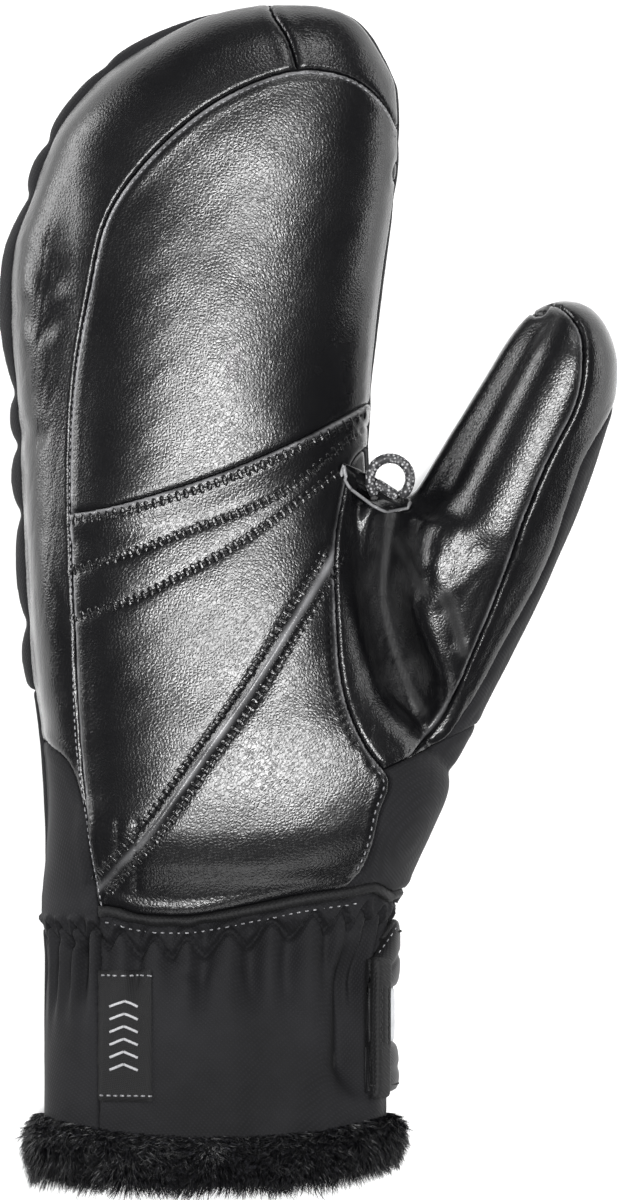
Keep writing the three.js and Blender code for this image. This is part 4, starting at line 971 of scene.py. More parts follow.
@dataclass
class Skin:
    """Outside of the mitten as one fused surface, cut into its panels and drawn in along its seams."""

    voxel: float = 0.72
    seam_depth: float = 1.0
    folds: tuple[Fold, ...] = ()
    points: Array = field(default_factory=lambda: np.zeros((0, 3)))
    tris: Array = field(default_factory=lambda: np.zeros((0, 3), int))
    labels: Array = field(default_factory=lambda: np.zeros(0, int))
    worn: Array = field(default_factory=lambda: np.zeros(0))
    rows: list[Stitching] = field(default_factory=list)

    def lines(self) -> dict[str, Array]:
        """The seams as lines in plan."""
        made = {name: spline([hand_plan(*p) for p in points], 2.5) for name, points in SEAMS.items()}
        for name, points in THUMB_SEAMS.items():
            plan = [tuple(FORM.thumb_plan(a, t)) for a, t in points]
            made["thumb_" + name] = spline(plan, 2.5)
        return made

    def fuse(self) -> None:
        """Fuse hand, cuff and thumb, and smooth the joint between them."""
        ys = np.concatenate([np.arange(-SIZE.cuff_length, 205, 1.3), 225 - 20 * (1 - np.linspace(0, 1, 26)) ** 1.6])
        angles = np.linspace(0, 2 * math.pi, 220, endpoint=False)
        hand = FORM.skin(ys[:, None] + 0 * angles, 0 * ys[:, None] + angles)
        ats = np.concatenate([np.linspace(0, 0.9, 80), 1 - 0.1 * (1 - np.linspace(0, 1, 24)[1:]) ** 1.6])
        turn = np.linspace(0, 2 * math.pi, 120, endpoint=False)
        thumb = FORM.thumb(ats[:, None] + 0 * turn, 0 * ats[:, None] + turn, 0.0)
        self.points, self.tris = fused(capped(hand).joined(capped(thumb)), self.voxel)
        self.points = relaxed(self.points, self.tris, 5)
        volume = np.einsum("ij,ij->i", self.points[self.tris[:, 0]],
                           np.cross(self.points[self.tris[:, 1]], self.points[self.tris[:, 2]])).sum()
        if volume < 0:
            self.tris = self.tris[:, ::-1].copy()

    def divide(self) -> None:
        """Cut the skin along its seams."""
        line = self.lines()
        labels = np.full(len(self.tris), -1)
        top, palm, thumb, hand_back, rest = 20, 21, 22, 23, 24

        def along(name: str, source: set[int], label: int, sign: float = 1.0, shift: float = 0.0) -> None:
            """Cut the source labels along a seam, its right side going to the label."""
            used = np.unique(self.tris[np.isin(labels, list(source))])
            values = np.ones(len(self.points))
            values[used] = sign * side_of(self.points[used, :2], line[name]) + shift
            by_value(values, source, label)

        def by_value(values: Array, source: set[int], label: int) -> None:
            """Cut the source labels by a value."""
            nonlocal labels
            where = np.isin(labels, list(source))
            self.points, self.tris, labels = cut(self.points, self.tris, labels, where, values, label)

        labels[:] = Panel.quilted_back.value
        by_value(self.points[:, 2] - FORM.body_at(self.points[:, 1])["seam"], {Panel.quilted_back.value}, top)
        # Right of the palm's seam, which runs from the tip round to the hem, is below and inside it.
        along("palm", {top}, palm, sign=-1.0)
        along("gusset_foot", {top}, Panel.side_panel.value)
        along("tip", {top}, Panel.tip_gusset.value, sign=-1.0)
        labels[labels == top] = Panel.finger_gusset.value
        along("wrist", {palm}, Panel.cuff_front.value)
        along("wrist", {Panel.cuff_front.value}, Panel.wrist_binding.value, sign=-1.0,
              shift=SIZE.binding_width)
        along("wrist", {Panel.quilted_back.value}, Panel.cuff_back.value)
        along("thumb", {palm}, thumb, sign=-1.0)
        along("overlay", {palm}, Panel.palm_overlay.value)
        labels[labels == palm] = Panel.palm_upper.value
        along("back_thumb", {Panel.quilted_back.value}, thumb, sign=-1.0)
        by_value(BACK_YOKE_AT * SIZE.hand_length - self.points[:, 1], {Panel.quilted_back.value},
                 Panel.back_yoke.value)
        along("thumb_foot", {thumb}, Panel.heel_panel.value)
        along("thumb_side", {thumb}, Panel.thumb_back.value, sign=-1.0)
        by_value(FORM.thumb_seam_height(self.points[:, 1]) - self.points[:, 2], {thumb}, Panel.thumb_back.value)
        along("thumb_front", {thumb}, Panel.thumb_side.value, sign=-1.0)
        labels[labels == thumb] = Panel.thumb_front.value
        hem = self.points[self.tris][:, :, 1].max(axis=1) > -SIZE.cuff_length + 0.4
        self.tris, self.labels = self.tris[hem], labels[hem]
        LOG.info("skin: %d points, %s", len(self.points),
                 {p.name: int((self.labels == p.value).sum()) for p in Panel})

    def border(self, one: set[Panel], other: set[Panel]) -> Array:
        """Points along the seam between two sets of panels."""
        first = np.isin(self.labels, [p.value for p in one])
        second = np.isin(self.labels, [p.value for p in other])
        size = len(self.points)

        def keys(rows: Array) -> Array:
            """One number for each edge."""
            e = edges_of(self.tris[rows])
            return e[:, 0].astype(np.int64) * size + e[:, 1]

        both = np.intersect1d(keys(first), keys(second))
        a, b = self.points[both // size], self.points[both % size]
        steps = np.linspace(0, 1, 5)[:, None, None]
        return (a + (b - a) * steps).reshape(-1, 3)

    def neighbours(self) -> dict[Panel, dict[Panel, Array]]:
        """Seam points between each two panels that meet."""
        found: dict[Panel, dict[Panel, Array]] = {p: {} for p in Panel}
        for a in Panel:
            for b in Panel:
                if a.value < b.value:
                    samples = self.border({a}, {b})
                    if len(samples) > 20:
                        found[a][b] = samples
                        found[b][a] = samples
        return found

    def on_top(self) -> Array:
        """Share of each point that belongs to the palm side."""
        return smoothstep(self.points[:, 2] - FORM.body_at(self.points[:, 1])["seam"], -2.0, 3.0)

    def relief(self) -> Array:
        """Height of folds, gathers and stitched furrows over the smooth skin, in millimetres."""
        plan, y = self.points[:, :2], self.points[:, 1]
        top = self.on_top()
        out = np.zeros(len(self.points))
        for fold in self.folds:
            line = spline([mark(*p) for p in fold.points])
            r, share = away_from(plan, line)
            ends = smoothstep(share, 0.0, 0.25) * (1 - smoothstep(share, 0.75, 1.0))
            out -= fold.depth * np.exp(-((r / fold.width) ** (1 if fold.sharp else 2))) * ends * top
        for row in self.rows:
            r, share = away_from(plan, row.line)
            run = np.linalg.norm(np.diff(row.line, axis=0), axis=1).sum()
            beat = 0.5 + 0.5 * np.cos(2 * math.pi * share * run / row.pitch)
            out -= row.furrow * np.exp(-((r / 0.75) ** 2)) * beat * (top > 0.5)
            out -= 0.3 * row.furrow * np.exp(-((r / 1.8) ** 2)) * (top > 0.5)
        return out + self.gathers() + self.cuff_folds(top) + self.wrinkles(y) + self.slopes(top)

    def slopes(self, top: Array) -> Array:
        """The palm falls away towards its left seam, and the gusset is fuller beside the tip."""
        x, y = self.points[:, 0], self.points[:, 1]
        start = 3.0 - 10.0 * smoothstep(y, 60.0, 110.0)
        fall = 0.0028 * np.clip(start - x, 0, 36) ** 2 * (1 - smoothstep(-x, 32.0, 46.0))
        fall *= smoothstep(y, 8.0, 30.0) * (1 - smoothstep(y, 170.0, 200.0))
        full = 2.4 * np.exp(-(((x + 23) / 16) ** 2) - ((y - 208) / 15) ** 2) * (1 - 0.6 * top)
        return full - fall * top - self.thumb_fall()

    def thumb_fall(self) -> Array:
        """The thumb's front falls away from its outer seam towards the palm."""
        across, at = FORM.thumb_shares(self.points[:, :2])
        share = np.clip(at, 0, 0.99)
        high = (self.points[:, 2] - THUMB["middle"](share) * SIZE.hand_depth) / (
            THUMB["depth"](share) * SIZE.thumb_depth / 2)
        fall = 0.011 * np.clip((0.14 - across) * SIZE.thumb_width, 0, 22) ** 2 * smoothstep(high, 0.05, 0.75)
        return (fall * smoothstep(at, 0.35, 0.6) * (1 - smoothstep(at, 0.93, 1.0))
                * smoothstep(across, -0.75, -0.58))

    def gathers(self) -> Array:
        """Elastic gathers below the wrist seam, each pinched by a zig-zag stitch at its foot."""
        below = side_of(self.points[:, :2], spline([hand_plan(*p) for p in SEAMS["wrist"]]))
        angle = FORM.angle_of(self.points)
        at = -self.points[:, 1] / SIZE.cuff_length
        fade = smoothstep(at, 0.03, 0.1) * (1 - smoothstep(at, 0.22, 0.5))
        wave = np.cos(SIZE.gather_count * angle + 0.9 * np.sin(3 * angle) + 0.7 * np.sin(7 * angle + 1))
        uneven = 0.75 + 0.4 * np.sin(5 * angle + 2) * np.sin(11 * angle)
        pinch = 7.4 - 2.3 * wave
        stitch = -2.5 * np.exp(-(((below - pinch) / 0.8) ** 2)) * (below > 3)
        puff = 1.1 * np.exp(-(((below - pinch + 2.5) / 1.7) ** 2)) * smoothstep(below, 2.4, 3.4)
        runs = 0.5 * (1 - smoothstep(at, 0.2, 0.62)) * smoothstep(at, 0.08, 0.2) * (wave - 1)
        return (SIZE.gather_depth * fade * (wave - 1) * 1.1 + 1.2 * runs) * uneven + stitch + puff * uneven

    def cuff_folds(self, top: Array) -> Array:
        """Long soft folds of the cuff, and the hollow beside the strap's end."""
        return -cuff_dent(self.points) * top

    def wrinkles(self, y: Array) -> Array:
        """Slight unevenness of hand-stretched panels over a soft filling, stronger on the cuff."""
        soft = smoothstep(-y, 2.0, 14.0)
        x = self.points[:, 0]
        bent = 0.6 * smoothstep(-x, 34.0, 41.0) * smoothstep(y, 50.0, 80.0) + (
            0.8 * smoothstep(x, 37.0, 42.0) * (1 - smoothstep(x, 66.0, 74.0)) * smoothstep(y, 25.0, 40.0)
            * (1 - smoothstep(y, 85.0, 110.0)))
        fine = sum(np.exp(-((ripple(self.points * (1.0, 0.6, 1.0), size, seed) / 0.2) ** 2))
                   for size, seed in ((15.0, 6.0), (9.0, 7.0)))
        return 0.2 * ripple(self.points, 52.0, 1.0) * (1 - soft) + 0.035 * ripple(self.points, 13.0, 2.0) + (
            0.8 * ripple(self.points * (1.0, 0.55, 1.0), 19.0, 3.0) * soft) - 0.1 * fine * bent

    def build(self) -> None:
        """Make every panel."""
        self.fuse()
        self.divide()
        normals = normals_of(self.points, self.tris)
        relief = self.relief()
        near = self.neighbours()
        for panel in Panel:
            rows = self.tris[self.labels == panel.value]
            if not len(rows):
                LOG.warning("no faces for %s", panel.name)
                continue
            ids, faces = np.unique(rows, return_inverse=True)
            faces = faces.reshape(-1, 3)
            points = self.points[ids]
            sink, crown = np.zeros(len(ids)), np.zeros(len(ids))
            edge = np.full(len(ids), 9.0)
            worn = np.zeros(len(ids))
            for other, samples in near[panel].items():
                spec = seam_between(panel, other)
                r = nearest(points, samples, 9.0)
                t = np.clip(r / spec.width, 0, 1)
                sink = np.minimum(sink, -spec.depth * (1 - np.sqrt(1 - (1 - t) ** 2)))
                rise = spec.lift * (1 - smoothstep(r, 1.0, 9.0)) + spec.crown * np.exp(-(((r - 2.4) / 1.4) ** 2))
                crown = np.maximum(crown, rise * (t > 0))
                # Paleness along each seam's folded edge: partly rubbed wear, partly a painted highlight on its crown.
                worn = np.maximum(worn, spec.worn * np.exp(-(((r - 0.6) / 0.45) ** 2)))
                edge = np.minimum(edge, r)
            if panel is Panel.palm_overlay:
                r, share = away_from(points[:, :2], spline([mark(*p) for p in RIDGE]))
                # The ridge seam's crest is painted paler, more so along its upper part: partly wear, partly a painted
                # highlight.
                worn = np.maximum(worn, (0.35 + 0.9 * smoothstep(share, 0.25, 0.5)) * np.exp(-((r / 0.75) ** 2)))
            height = relief[ids] + sink + crown
            if panel is Panel.wrist_binding:
                height = relief[ids] + self.piping(points, near[panel])
            base = points + normals[ids] * height[:, None]
            solid, worn = self.with_edges(base, faces, normals[ids], worn)
            leather = panel in LEATHERS
            finish = Finishes.LEATHER if leather else Finishes.SOFTSHELL
            if panel is Panel.wrist_binding:
                finish = Finishes.BINDING
            noise = 0.75 + 0.35 * ripple(solid.points, 9.0, 5.0)
            dull = np.zeros(len(solid.points))
            for fold in self.folds:
                if fold.sharp and leather:
                    r, _ = away_from(solid.points[:, :2], spline([mark(*p) for p in fold.points]))
                    dull = np.maximum(dull, np.exp(-((r / 1.3) ** 2)))
            piece = MAKER.piece(panel.name + "_skin", solid, finish, "leather" if leather else "softshell",
                                [panel.name], np.clip(worn * noise, 0, 1), dull)

    def piping(self, points: Array, near: dict[Panel, Array]) -> Array:
        """Round of the folded binding along the wrist."""
        over = np.vstack([s for p, s in near.items() if p is not Panel.cuff_front])
        r = nearest(points, over, 9.0)
        t = np.clip(r / SIZE.binding_width, 0, 1)
        return 1.15 * np.sqrt(np.clip(1 - (2 * t - 1) ** 2, 0, 1)) - 0.25

    def with_edges(self, points: Array, faces: Array, normals: Array, worn: Array) -> tuple[Solid, Array]:
        """Panel with its raw edge turned in, so that it has a thickness at each seam."""
        pairs = np.vstack([faces[:, [0, 1]], faces[:, [1, 2]], faces[:, [2, 0]]])
        keys = np.sort(pairs, axis=1)
        size = len(points)
        _, first, count = np.unique(keys[:, 0].astype(np.int64) * size + keys[:, 1], return_index=True,
                                    return_counts=True)
        rim = pairs[first[count == 1]]
        ids, back = np.unique(rim, return_inverse=True)
        back = back.reshape(-1, 2) + size
        inner = points[ids] - normals[ids] * 1.6
        a, b = rim[:, 0], rim[:, 1]
        skirt = np.vstack([np.column_stack([b, a, back[:, 0]]), np.column_stack([b, back[:, 0], back[:, 1]])])
        return Solid(np.vstack([points, inner]), np.vstack([faces, skirt])), np.concatenate([worn, 0 * ids])


@dataclass(frozen=True)
class SeamSpec:
    """How one panel meets another: depth and width of its rolled edge, and how far it stands proud."""

    depth: float = 0.9
    width: float = 1.3
    lift: float = 0.0
    crown: float = 0.2
    # Paleness painted along the edge: partly rubbed wear, partly a painted highlight.
    worn: float = 0.0


CUFF_FOLDS = ((0.378, 0.042, 0.12, 0.82, 6.6), (-0.1, 0.05, 0.0, 0.4, 0.8), (0.12, 0.06, 0.1, 0.5, 0.6))


def cuff_dent(points: Array) -> Array:
    """Depth of the cuff's long folds under the palm side, in millimetres."""
    out = np.zeros(len(points))
    at = -points[:, 1] / SIZE.cuff_length
    for across, width, start, end, depth in CUFF_FOLDS:
        r = (points[:, 0] - across * SIZE.hand_width) / (width * SIZE.hand_width)
        along = smoothstep(at, start, start + 0.2) * (1 - smoothstep(at, end - 0.2, end))
        out += depth * np.exp(-(r**2)) * along
    return out


def seam_between(panel: Panel, other: Panel) -> SeamSpec:
    """How a panel's edge is finished where it meets another."""
    palms = {Panel.palm_upper, Panel.palm_overlay}
    gussets = {Panel.finger_gusset, Panel.tip_gusset}
    fronts = {Panel.thumb_front, Panel.heel_panel}
    if panel is Panel.palm_overlay and other is Panel.palm_upper:
        return SeamSpec(0.5, 0.5, 0.8, 0.1, 0.9)
    if panel is Panel.palm_upper and other is Panel.palm_overlay:
        return SeamSpec(0.6, 2.0, 0.0, 0.0)
    if panel in palms and other in gussets:
        return SeamSpec(1.0, 0.8, 0.0, 0.12, 1.0)
    if panel in gussets and other in palms:
        return SeamSpec(1.3, 1.3, 0.0, 0.0)
    if {panel, other} == {Panel.thumb_front, Panel.thumb_side}:
        return SeamSpec(1.5, 0.9, 0.0, 0.1, 0.5 if panel is Panel.thumb_front else 0.0)
    if panel in palms and other in fronts:
        return SeamSpec(1.1, 0.9, 0.0, 0.2, 0.7 if other is Panel.thumb_front else 0.1)
    if panel in fronts and other in palms:
        return SeamSpec(1.4, 1.3, 0.0, 0.0)
    if Panel.thumb_back in (panel, other):
        return SeamSpec(0.6, 1.1, 0.0, 0.15)
    if Panel.quilted_back in (panel, other):
        return SeamSpec(1.1, 1.6, 0.0, 0.2)
    if other is Panel.wrist_binding:
        return SeamSpec(1.0, 1.3, 0.0, 0.3)
    return SeamSpec()


def mark(right: float, up: float) -> tuple[float, float]:
    """Place in plan from quarter millimetres right of the hand's axis and up from the wrist seam."""
    return right / 4, up / 4


# Deep folds of the thumb's crotch, soft ones on the palm's right, and tucks on the side.
FOLDS = (
    Fold(((192, 415), (189, 385), (184, 345), (183, 305), (194, 258), (210, 216), (222, 195)), 2.6, 3.6, True),
    Fold(((204, 322), (214, 300), (229, 268), (246, 236), (258, 210)), -1.0, 3.6),
    Fold(((196, 366), (205, 345), (222, 316)), 0.9, 2.2, True),
    Fold(((244, 310), (252, 288), (262, 255)), 0.9, 2.6, True),
    Fold(((236, 412), (258, 385), (286, 340)), 0.6, 4.5),
    Fold(((222, 352), (240, 326), (256, 306)), -0.4, 3.2),
    Fold(((-186, 668), (-170, 640), (-150, 618), (-141, 604)), 0.5, 3.0),
    Fold(((-190, 610), (-176, 590), (-160, 575), (-146, 566)), 0.5, 3.2),
    Fold(((-188, 480), (-172, 470), (-155, 462)), 0.5, 3.0),
    Fold(((-147, -28), (-130, -35), (-112, -43)), 1.6, 1.4),
    Fold(((60, -10), (52, -60), (62, -110)), 0.8, 3.0),
    Fold(((-40, -50), (-20, -100), (-30, -150)), -0.7, 4.0),
    Fold(((100, -60), (95, -110), (110, -170)), 0.9, 3.5),
    Fold(((-45, -50), (-15, -60), (10, -80)), 0.7, 2.0),
)

OVERLAY_ROWS = (
    ((-132, 287), (-128, 288), (-70, 305), (-20, 330), (30, 357), (80, 390), (140, 435)),
    ((-132, 334), (-128, 335), (-70, 352), (-10, 375), (50, 397), (100, 425), (165, 480)),
)
RIDGE = ((-103, 17), (-50, 75), (0, 145), (50, 215), (90, 280), (125, 335), (135, 355))


def sewing() -> list[Stitching]:
    """Rows of lockstitch on the palm side."""
    lines = {name: spline([hand_plan(*p) for p in points]) for name, points in SEAMS.items()}

    def inside(line: Array, low: float, high: float) -> Array:
        """Stretch of a line between two shares of its length."""
        n = len(line)
        return line[int(low * n):max(int(high * n), int(low * n) + 2)]

    ridge = spline([mark(*p) for p in RIDGE])
    edge = spline([hand_plan(*p) for p in SEAMS["overlay"][1:-1]])
    palm = spline([hand_plan(*p) for p in SEAMS["palm"][1:-2]])
    thumb = spline([hand_plan(*p) for p in SEAMS["thumb"][1:-1]])
    rows = [
        Stitching(offset_line(ridge, 2.4), 2.1, furrow=0.42),
        Stitching(offset_line(ridge, -2.4), 2.1, furrow=0.42),
        Stitching(offset_line(edge, 2.0), 2.0, furrow=0.4),
        Stitching(offset_line(palm, -1.1), 1.7, 0.6, 0.17, Finishes.PALE_THREAD, 0.1),
        Stitching(inside(offset_line(thumb, 2.0), 0.33, 0.66), 2.0, furrow=0.35),
        Stitching(inside(offset_line(thumb, 1.5), 0.7, 0.97), 2.0, 0.5, 0.2, Finishes.PALE_THREAD, 0.3),
    ]
    rows += [Stitching(spline([mark(*p) for p in row]), 2.0, furrow=0.41) for row in OVERLAY_ROWS]
    wrist = offset_line(lines["wrist"], SIZE.binding_width + 1.5)
    span = (wrist[:, 0] > -24.5) & (wrist[:, 0] < 44)
    rows.append(Stitching(wrist[span], 2.0, 0.5, 0.21, Finishes.PALE_THREAD, 0.3))
    # Bar tacks hold the foot of the ridge seam.
    for x in (-82, -63):
        rows.append(Stitching(spline([mark(x, 20), mark(x, 84)]), 2.0, furrow=0.3))
    return rows


def ridge_folds() -> tuple[Fold, ...]:
    """Raised fold of the ridge seam, highest along its upper part."""
    return (Fold(RIDGE, -0.9, 1.1), Fold(((-5, 145), (5, 155), (45, 210), (80, 262), (92, 282)), -0.5, 1.0))


class Surface:
    """A made surface that stitches and small parts are laid on."""

    def __init__(self, solid: Solid) -> None:
        """Take the surface's mesh."""
        rows = [tuple(dict.fromkeys(f)) for f in solid.faces.tolist()]
        self.tree = BVHTree.FromPolygons(solid.points.tolist(), rows)

    @classmethod
    def of_skin(cls) -> "Surface":
        """The dressed mitten, from every skin panel that has been made."""
        made = []
        for panel in Panel:
            obj = bpy.data.objects.get(panel.name + "_skin")
            if obj is None:
                continue
            co = np.empty(len(obj.data.vertices) * 3, np.float32)
            obj.data.vertices.foreach_get("co", co)
            tri = np.empty(len(obj.data.polygons) * 3, np.int32)
            obj.data.polygons.foreach_get("vertices", tri)
            made.append(Solid(co.reshape(-1, 3) / MM - MAKER.shift, tri.reshape(-1, 3)))
        return cls(merged(made))

    def over(self, plan: Array, down: bool = True) -> tuple[Array, Array]:
        """Points and normals straight below places in plan, or above them from under the back.

        Args:
            plan: Places in plan.
            down: Whether to look down from over the palm.

        Returns:
            Points and normals, one row each.
        """
        hits, ups = [], []
        sign = -1.0 if down else 1.0
        last = (Vector((0, 0, 25)), Vector((0, 0, -sign)))
        for x, y in np.asarray(plan)[:, :2].tolist():
            co, normal, _, _ = self.tree.ray_cast(Vector((x, y, 90.0 if down else -40.0)), Vector((0, 0, sign)))
            if co is None:
                co, normal = last
            if normal.z * sign > 0:
                normal = -normal
            last = (co, normal)
            hits.append(co[:])
            ups.append(normal[:])
        return np.array(hits), np.array(ups)

    def at(self, points: Array) -> tuple[Array, Array]:
        """Nearest points of the surface, with their normals."""
        hits, ups = [], []
        for p in points.tolist():
            co, normal, _, _ = self.tree.find_nearest(Vector(p))
            hits.append(co[:])
            ups.append(normal[:])
        return np.array(hits), np.array(ups)


def frames_along(path: Array, up: Array) -> tuple[Array, Array, Array]:
    """Directions along a path, to its side and up, one row for each point."""
    along = np.gradient(path, axis=0)
    along /= np.maximum(np.linalg.norm(along, axis=1), 1e-9)[:, None]
    side = np.cross(along, up)
    side /= np.maximum(np.linalg.norm(side, axis=1), 1e-9)[:, None]
    return along, side, np.cross(side, along)


def tube(path: Array, up: Array, wide: Array | float, high: Array | float, around: int = 10) -> Solid:
    """Closed tube along a path, with its own width and height and rounded ends.

    Args:
        path: Points along its middle.
        up: The direction of its height at each point.
        wide: Half its width.
        high: Half its height.
        around: Points round it.

    Returns:
        The mesh.
    """
    _, side, top = frames_along(path, up)
    turn = np.linspace(0, 2 * math.pi, around, endpoint=False)
    w = (np.zeros(len(path)) + wide)[:, None, None]
    h = (np.zeros(len(path)) + high)[:, None, None]
    ring = path[:, None] + side[:, None] * np.cos(turn)[None, :, None] * w + top[:, None] * (
        np.sin(turn)[None, :, None] * h)
    return capped(ring[:, ::-1])


def stitches(surface: Surface, rows: Iterable[Stitching], sunk: float = 0.05) -> Solid:
    """Small rounded stitches along rows in plan, each dipping at its ends into its two holes."""
    made: list[Solid] = []
    for row in rows:
        run = np.linalg.norm(np.diff(row.line, axis=0), axis=1).sum()
        count = max(2, int(run / row.pitch))
        marks = resample(row.line, run / count)
        points, ups = surface.over(marks)
        for i in range(len(points) - 1):
            a, b = points[i], points[i + 1]
            gap = np.linalg.norm(b - a)
            if gap > row.pitch * 2.5:
                continue
            d = (b - a) / max(gap, 1e-6)
            half = row.long / 2 + 0.25
            s = np.linspace(-1, 1, 7)
            path = (a + b)[None] / 2 + d * (s * half)[:, None]
            up = (ups[i] + ups[i + 1]) / 2
            up /= max(np.linalg.norm(up), 1e-6)
            path = path + up * (row.thick * (0.9 - 1.5 * s**4) - sunk)[:, None]
            taper = row.thick * np.sqrt(np.clip(1 - (s * 0.93) ** 4, 0.05, 1))
            made.append(tube(path, np.tile(up, (7, 1)), taper, taper * 0.9, 6))
    return merged(made)


def puckers(surface: Surface, rows: Iterable[Stitching]) -> Solid:
    """Small pillows of leather that the thread pulls up between one stitch and the next."""
    made: list[Solid] = []
    s = np.linspace(-1, 1, 9)
    for row in rows:
        run = np.linalg.norm(np.diff(row.line, axis=0), axis=1).sum()
        count = max(2, int(run / row.pitch))
        points, ups = surface.over(resample(row.line, run / count))
        along, side, _ = frames_along(points, ups)
        for i in range(1, len(points) - 1):
            if np.linalg.norm(points[i + 1] - points[i - 1]) > row.pitch * 4:
                continue
            reach = 1.35 + 0.15 * math.sin(i * 2.3)
            path, up = surface.over(points[i] + side[i] * (s * reach)[:, None])
            path += up * (0.12 * (1 - s**2) - 0.03)[:, None]
            made.append(tube(path, up, 0.66 * np.sqrt(1.02 - s**4), 0.2 * np.sqrt(1.02 - s**2), 8))
    return merged(made)


def merged(solids: Sequence[Solid]) -> Solid:
    """Several meshes as one."""
    points, faces, base = [], [], 0
    for s in solids:
        points.append(s.points)
        rows = s.faces if s.faces.shape[1] == 4 else np.column_stack([s.faces, s.faces[:, 2]])
        faces.append(rows + base)
        base += len(s.points)
    return Solid(np.vstack(points), np.vstack(faces))


# Strap, band and label


@dataclass
class Strap:
    """Padded webbing-faced strap round the right of the cuff, with its pale band and upright end."""

    from_deg: float = -70.0
    to_deg: float = 30.5
    end_deg: tuple[float, float] = (19.5, 31.0)

    def ring(self, angle: float, downs: Array, outs: Array, waver: float = 0.0) -> Array:
        """Closed ring round the strap at one angle: its outer face down, and its underside back up."""
        y = -SIZE.strap_top - downs * SIZE.strap_height
        turn = np.full(len(y), math.radians(angle))
        outer = FORM.evenly(y, turn, SIZE.fit_gap + outs + waver)
        back = FORM.evenly(y[::-1], turn, np.full(len(y), SIZE.fit_gap - 0.3))
        return np.vstack([outer, back])

    def profile(self) -> tuple[Array, Array]:
        """Outer face of the strap: a rolled fold over and under the inset band."""
        downs = np.linspace(0, 1, 90)
        at = SIZE.strap_height * downs
        band_top, band_low = SIZE.reflective_above, SIZE.reflective_above + 14.0
        upper = np.clip(at / band_top, 0, 1)
        lower = np.clip((SIZE.strap_height - at) / (SIZE.strap_height - band_low), 0, 1)
        roll = SIZE.strap_thickness * np.where(
            at < band_top,
            np.sqrt(np.clip(1 - np.abs(2 * upper - 1) ** 3.5, 0, 1)) * 0.55 + 0.5,
            np.where(at > band_low, np.sqrt(np.clip(1 - np.abs(2 * lower - 1) ** 3.5, 0, 1)) * 0.55 + 0.5, 0.42),
        )
        crease = 0.5 * np.exp(-(((at - band_top * 0.52) / 1.0) ** 2)) + 0.35 * np.exp(
            -(((at - SIZE.strap_height * 0.86) / 1.0) ** 2))
        return downs, roll - crease

    def body(self) -> Solid:
        """The strap itself, its front end cut on a slant at the top."""
        downs, outs = self.profile()
        rings = []
        angles = np.linspace(self.from_deg, self.to_deg, 110)
        for a in angles:
            t = (a - self.from_deg) / (self.to_deg - self.from_deg)
            close = math.sqrt(max(1 - max((t - 0.975) / 0.025, 0) ** 2, 0.0)) * math.sqrt(
                max(1 - max((0.02 - t) / 0.02, 0) ** 2, 0.0))
            wav = 0.3 * np.sin(downs * 9 + t * 7) + 0.22 * math.sin(t * 23)
            slant = smoothstep(np.array(t), 0.72, 1.0) * 9.5
            at = downs * SIZE.strap_height
            lowered = np.where(at < SIZE.reflective_above,
                               slant + at * (SIZE.reflective_above - slant) / SIZE.reflective_above, at)
            rings.append(self.ring(a, lowered / SIZE.strap_height, np.maximum(outs * (0.25 + 0.75 * close), 0.1),
                                   wav * 0.6))
        return capped(np.stack(rings))

    def band(self) -> Solid:
        """The inset pale band, a flat tape with thin edges."""
        y0 = -SIZE.strap_top - SIZE.reflective_above - SIZE.fit_gap
        ys = np.linspace(y0, y0 - 13.3, 30)
        rings = []
        for a in np.linspace(self.from_deg, self.to_deg - 6.0, 90):
            turn = np.full(len(ys), math.radians(a))
            lift = 1.55 + 0.55 * np.sqrt(np.clip(1 - np.abs(np.linspace(-1, 1, 30)) ** 6, 0, 1))
            lift = lift + 0.12 * math.sin(a * 0.5)
            rings.append(np.vstack([FORM.evenly(ys, turn, lift), FORM.evenly(ys[::-1], turn, lift[::-1] - 0.7)]))
        return capped(np.stack(rings))

    def end(self) -> Solid:
        """Upright strip sewn over the strap's end."""
        ys = np.linspace(-SIZE.strap_end_top, -SIZE.strap_end_top - SIZE.strap_end_height, 70)
        rings = []
        angles = np.linspace(self.end_deg[0], self.end_deg[1], 22)
        for i, a in enumerate(angles):
            turn = np.full(len(ys), math.radians(a))
            t = 2 * i / (len(angles) - 1) - 1
            dome = math.sqrt(max(1 - abs(t) ** 5, 0.0))
            stitched = smoothstep(-ys, 19.0, 21.0) * (1 - smoothstep(-ys, 33.0, 35.0))
            lift = 3.0 + 1.0 * dome - 0.35 * stitched * math.exp(-(((abs(t) - 0.45) / 0.16) ** 2))
            ends = np.sqrt(np.clip(1 - np.abs(np.linspace(-1, 1, 70)) ** 24, 0, 1))
            lift = 2.4 + (lift - 2.4) * ends
            rings.append(np.vstack([FORM.evenly(ys, turn, lift), FORM.evenly(ys[::-1], turn, np.full(70, 1.7))]))
        return capped(np.stack(rings))

    def build(self) -> None:
        """Make strap, band, end and their stitches."""
        solid = self.body()
        strap = MAKER.piece("wrist_strap_web", solid, Finishes.WEBBING, "webbing", ["wrist_strap"])
        # A piped edge runs down the slanted front of the upper fold, with pale topstitching beside it.
        over = Surface(solid)
        edge = spline([mark(192, -17), mark(187, -25), mark(179, -36), mark(173, -44)], 0.6)
        base, ups = over.over(edge)
        MAKER.piece("strap_piping", tube(base + ups * 0.2, ups, 0.62, 0.6, 10), Finishes.BINDING, "softshell")
        row = Stitching(offset_line(edge, -1.3), 1.5, 0.5, 0.16, Finishes.PALE_THREAD)
        MAKER.piece("strap_topstitch", stitches(over, [row]), Finishes.PALE_THREAD, "cord")
        band = MAKER.piece("reflective_band_tape", self.band(), Finishes.PALE_BAND, "pale_band",
                           ["reflective_band"])
        end = MAKER.piece("strap_end_strip", self.end(), Finishes.BINDING, "softshell", ["strap_end"])
        MAKER.piece("strap_stitches", self.sewn(), Finishes.THREAD, "cord")

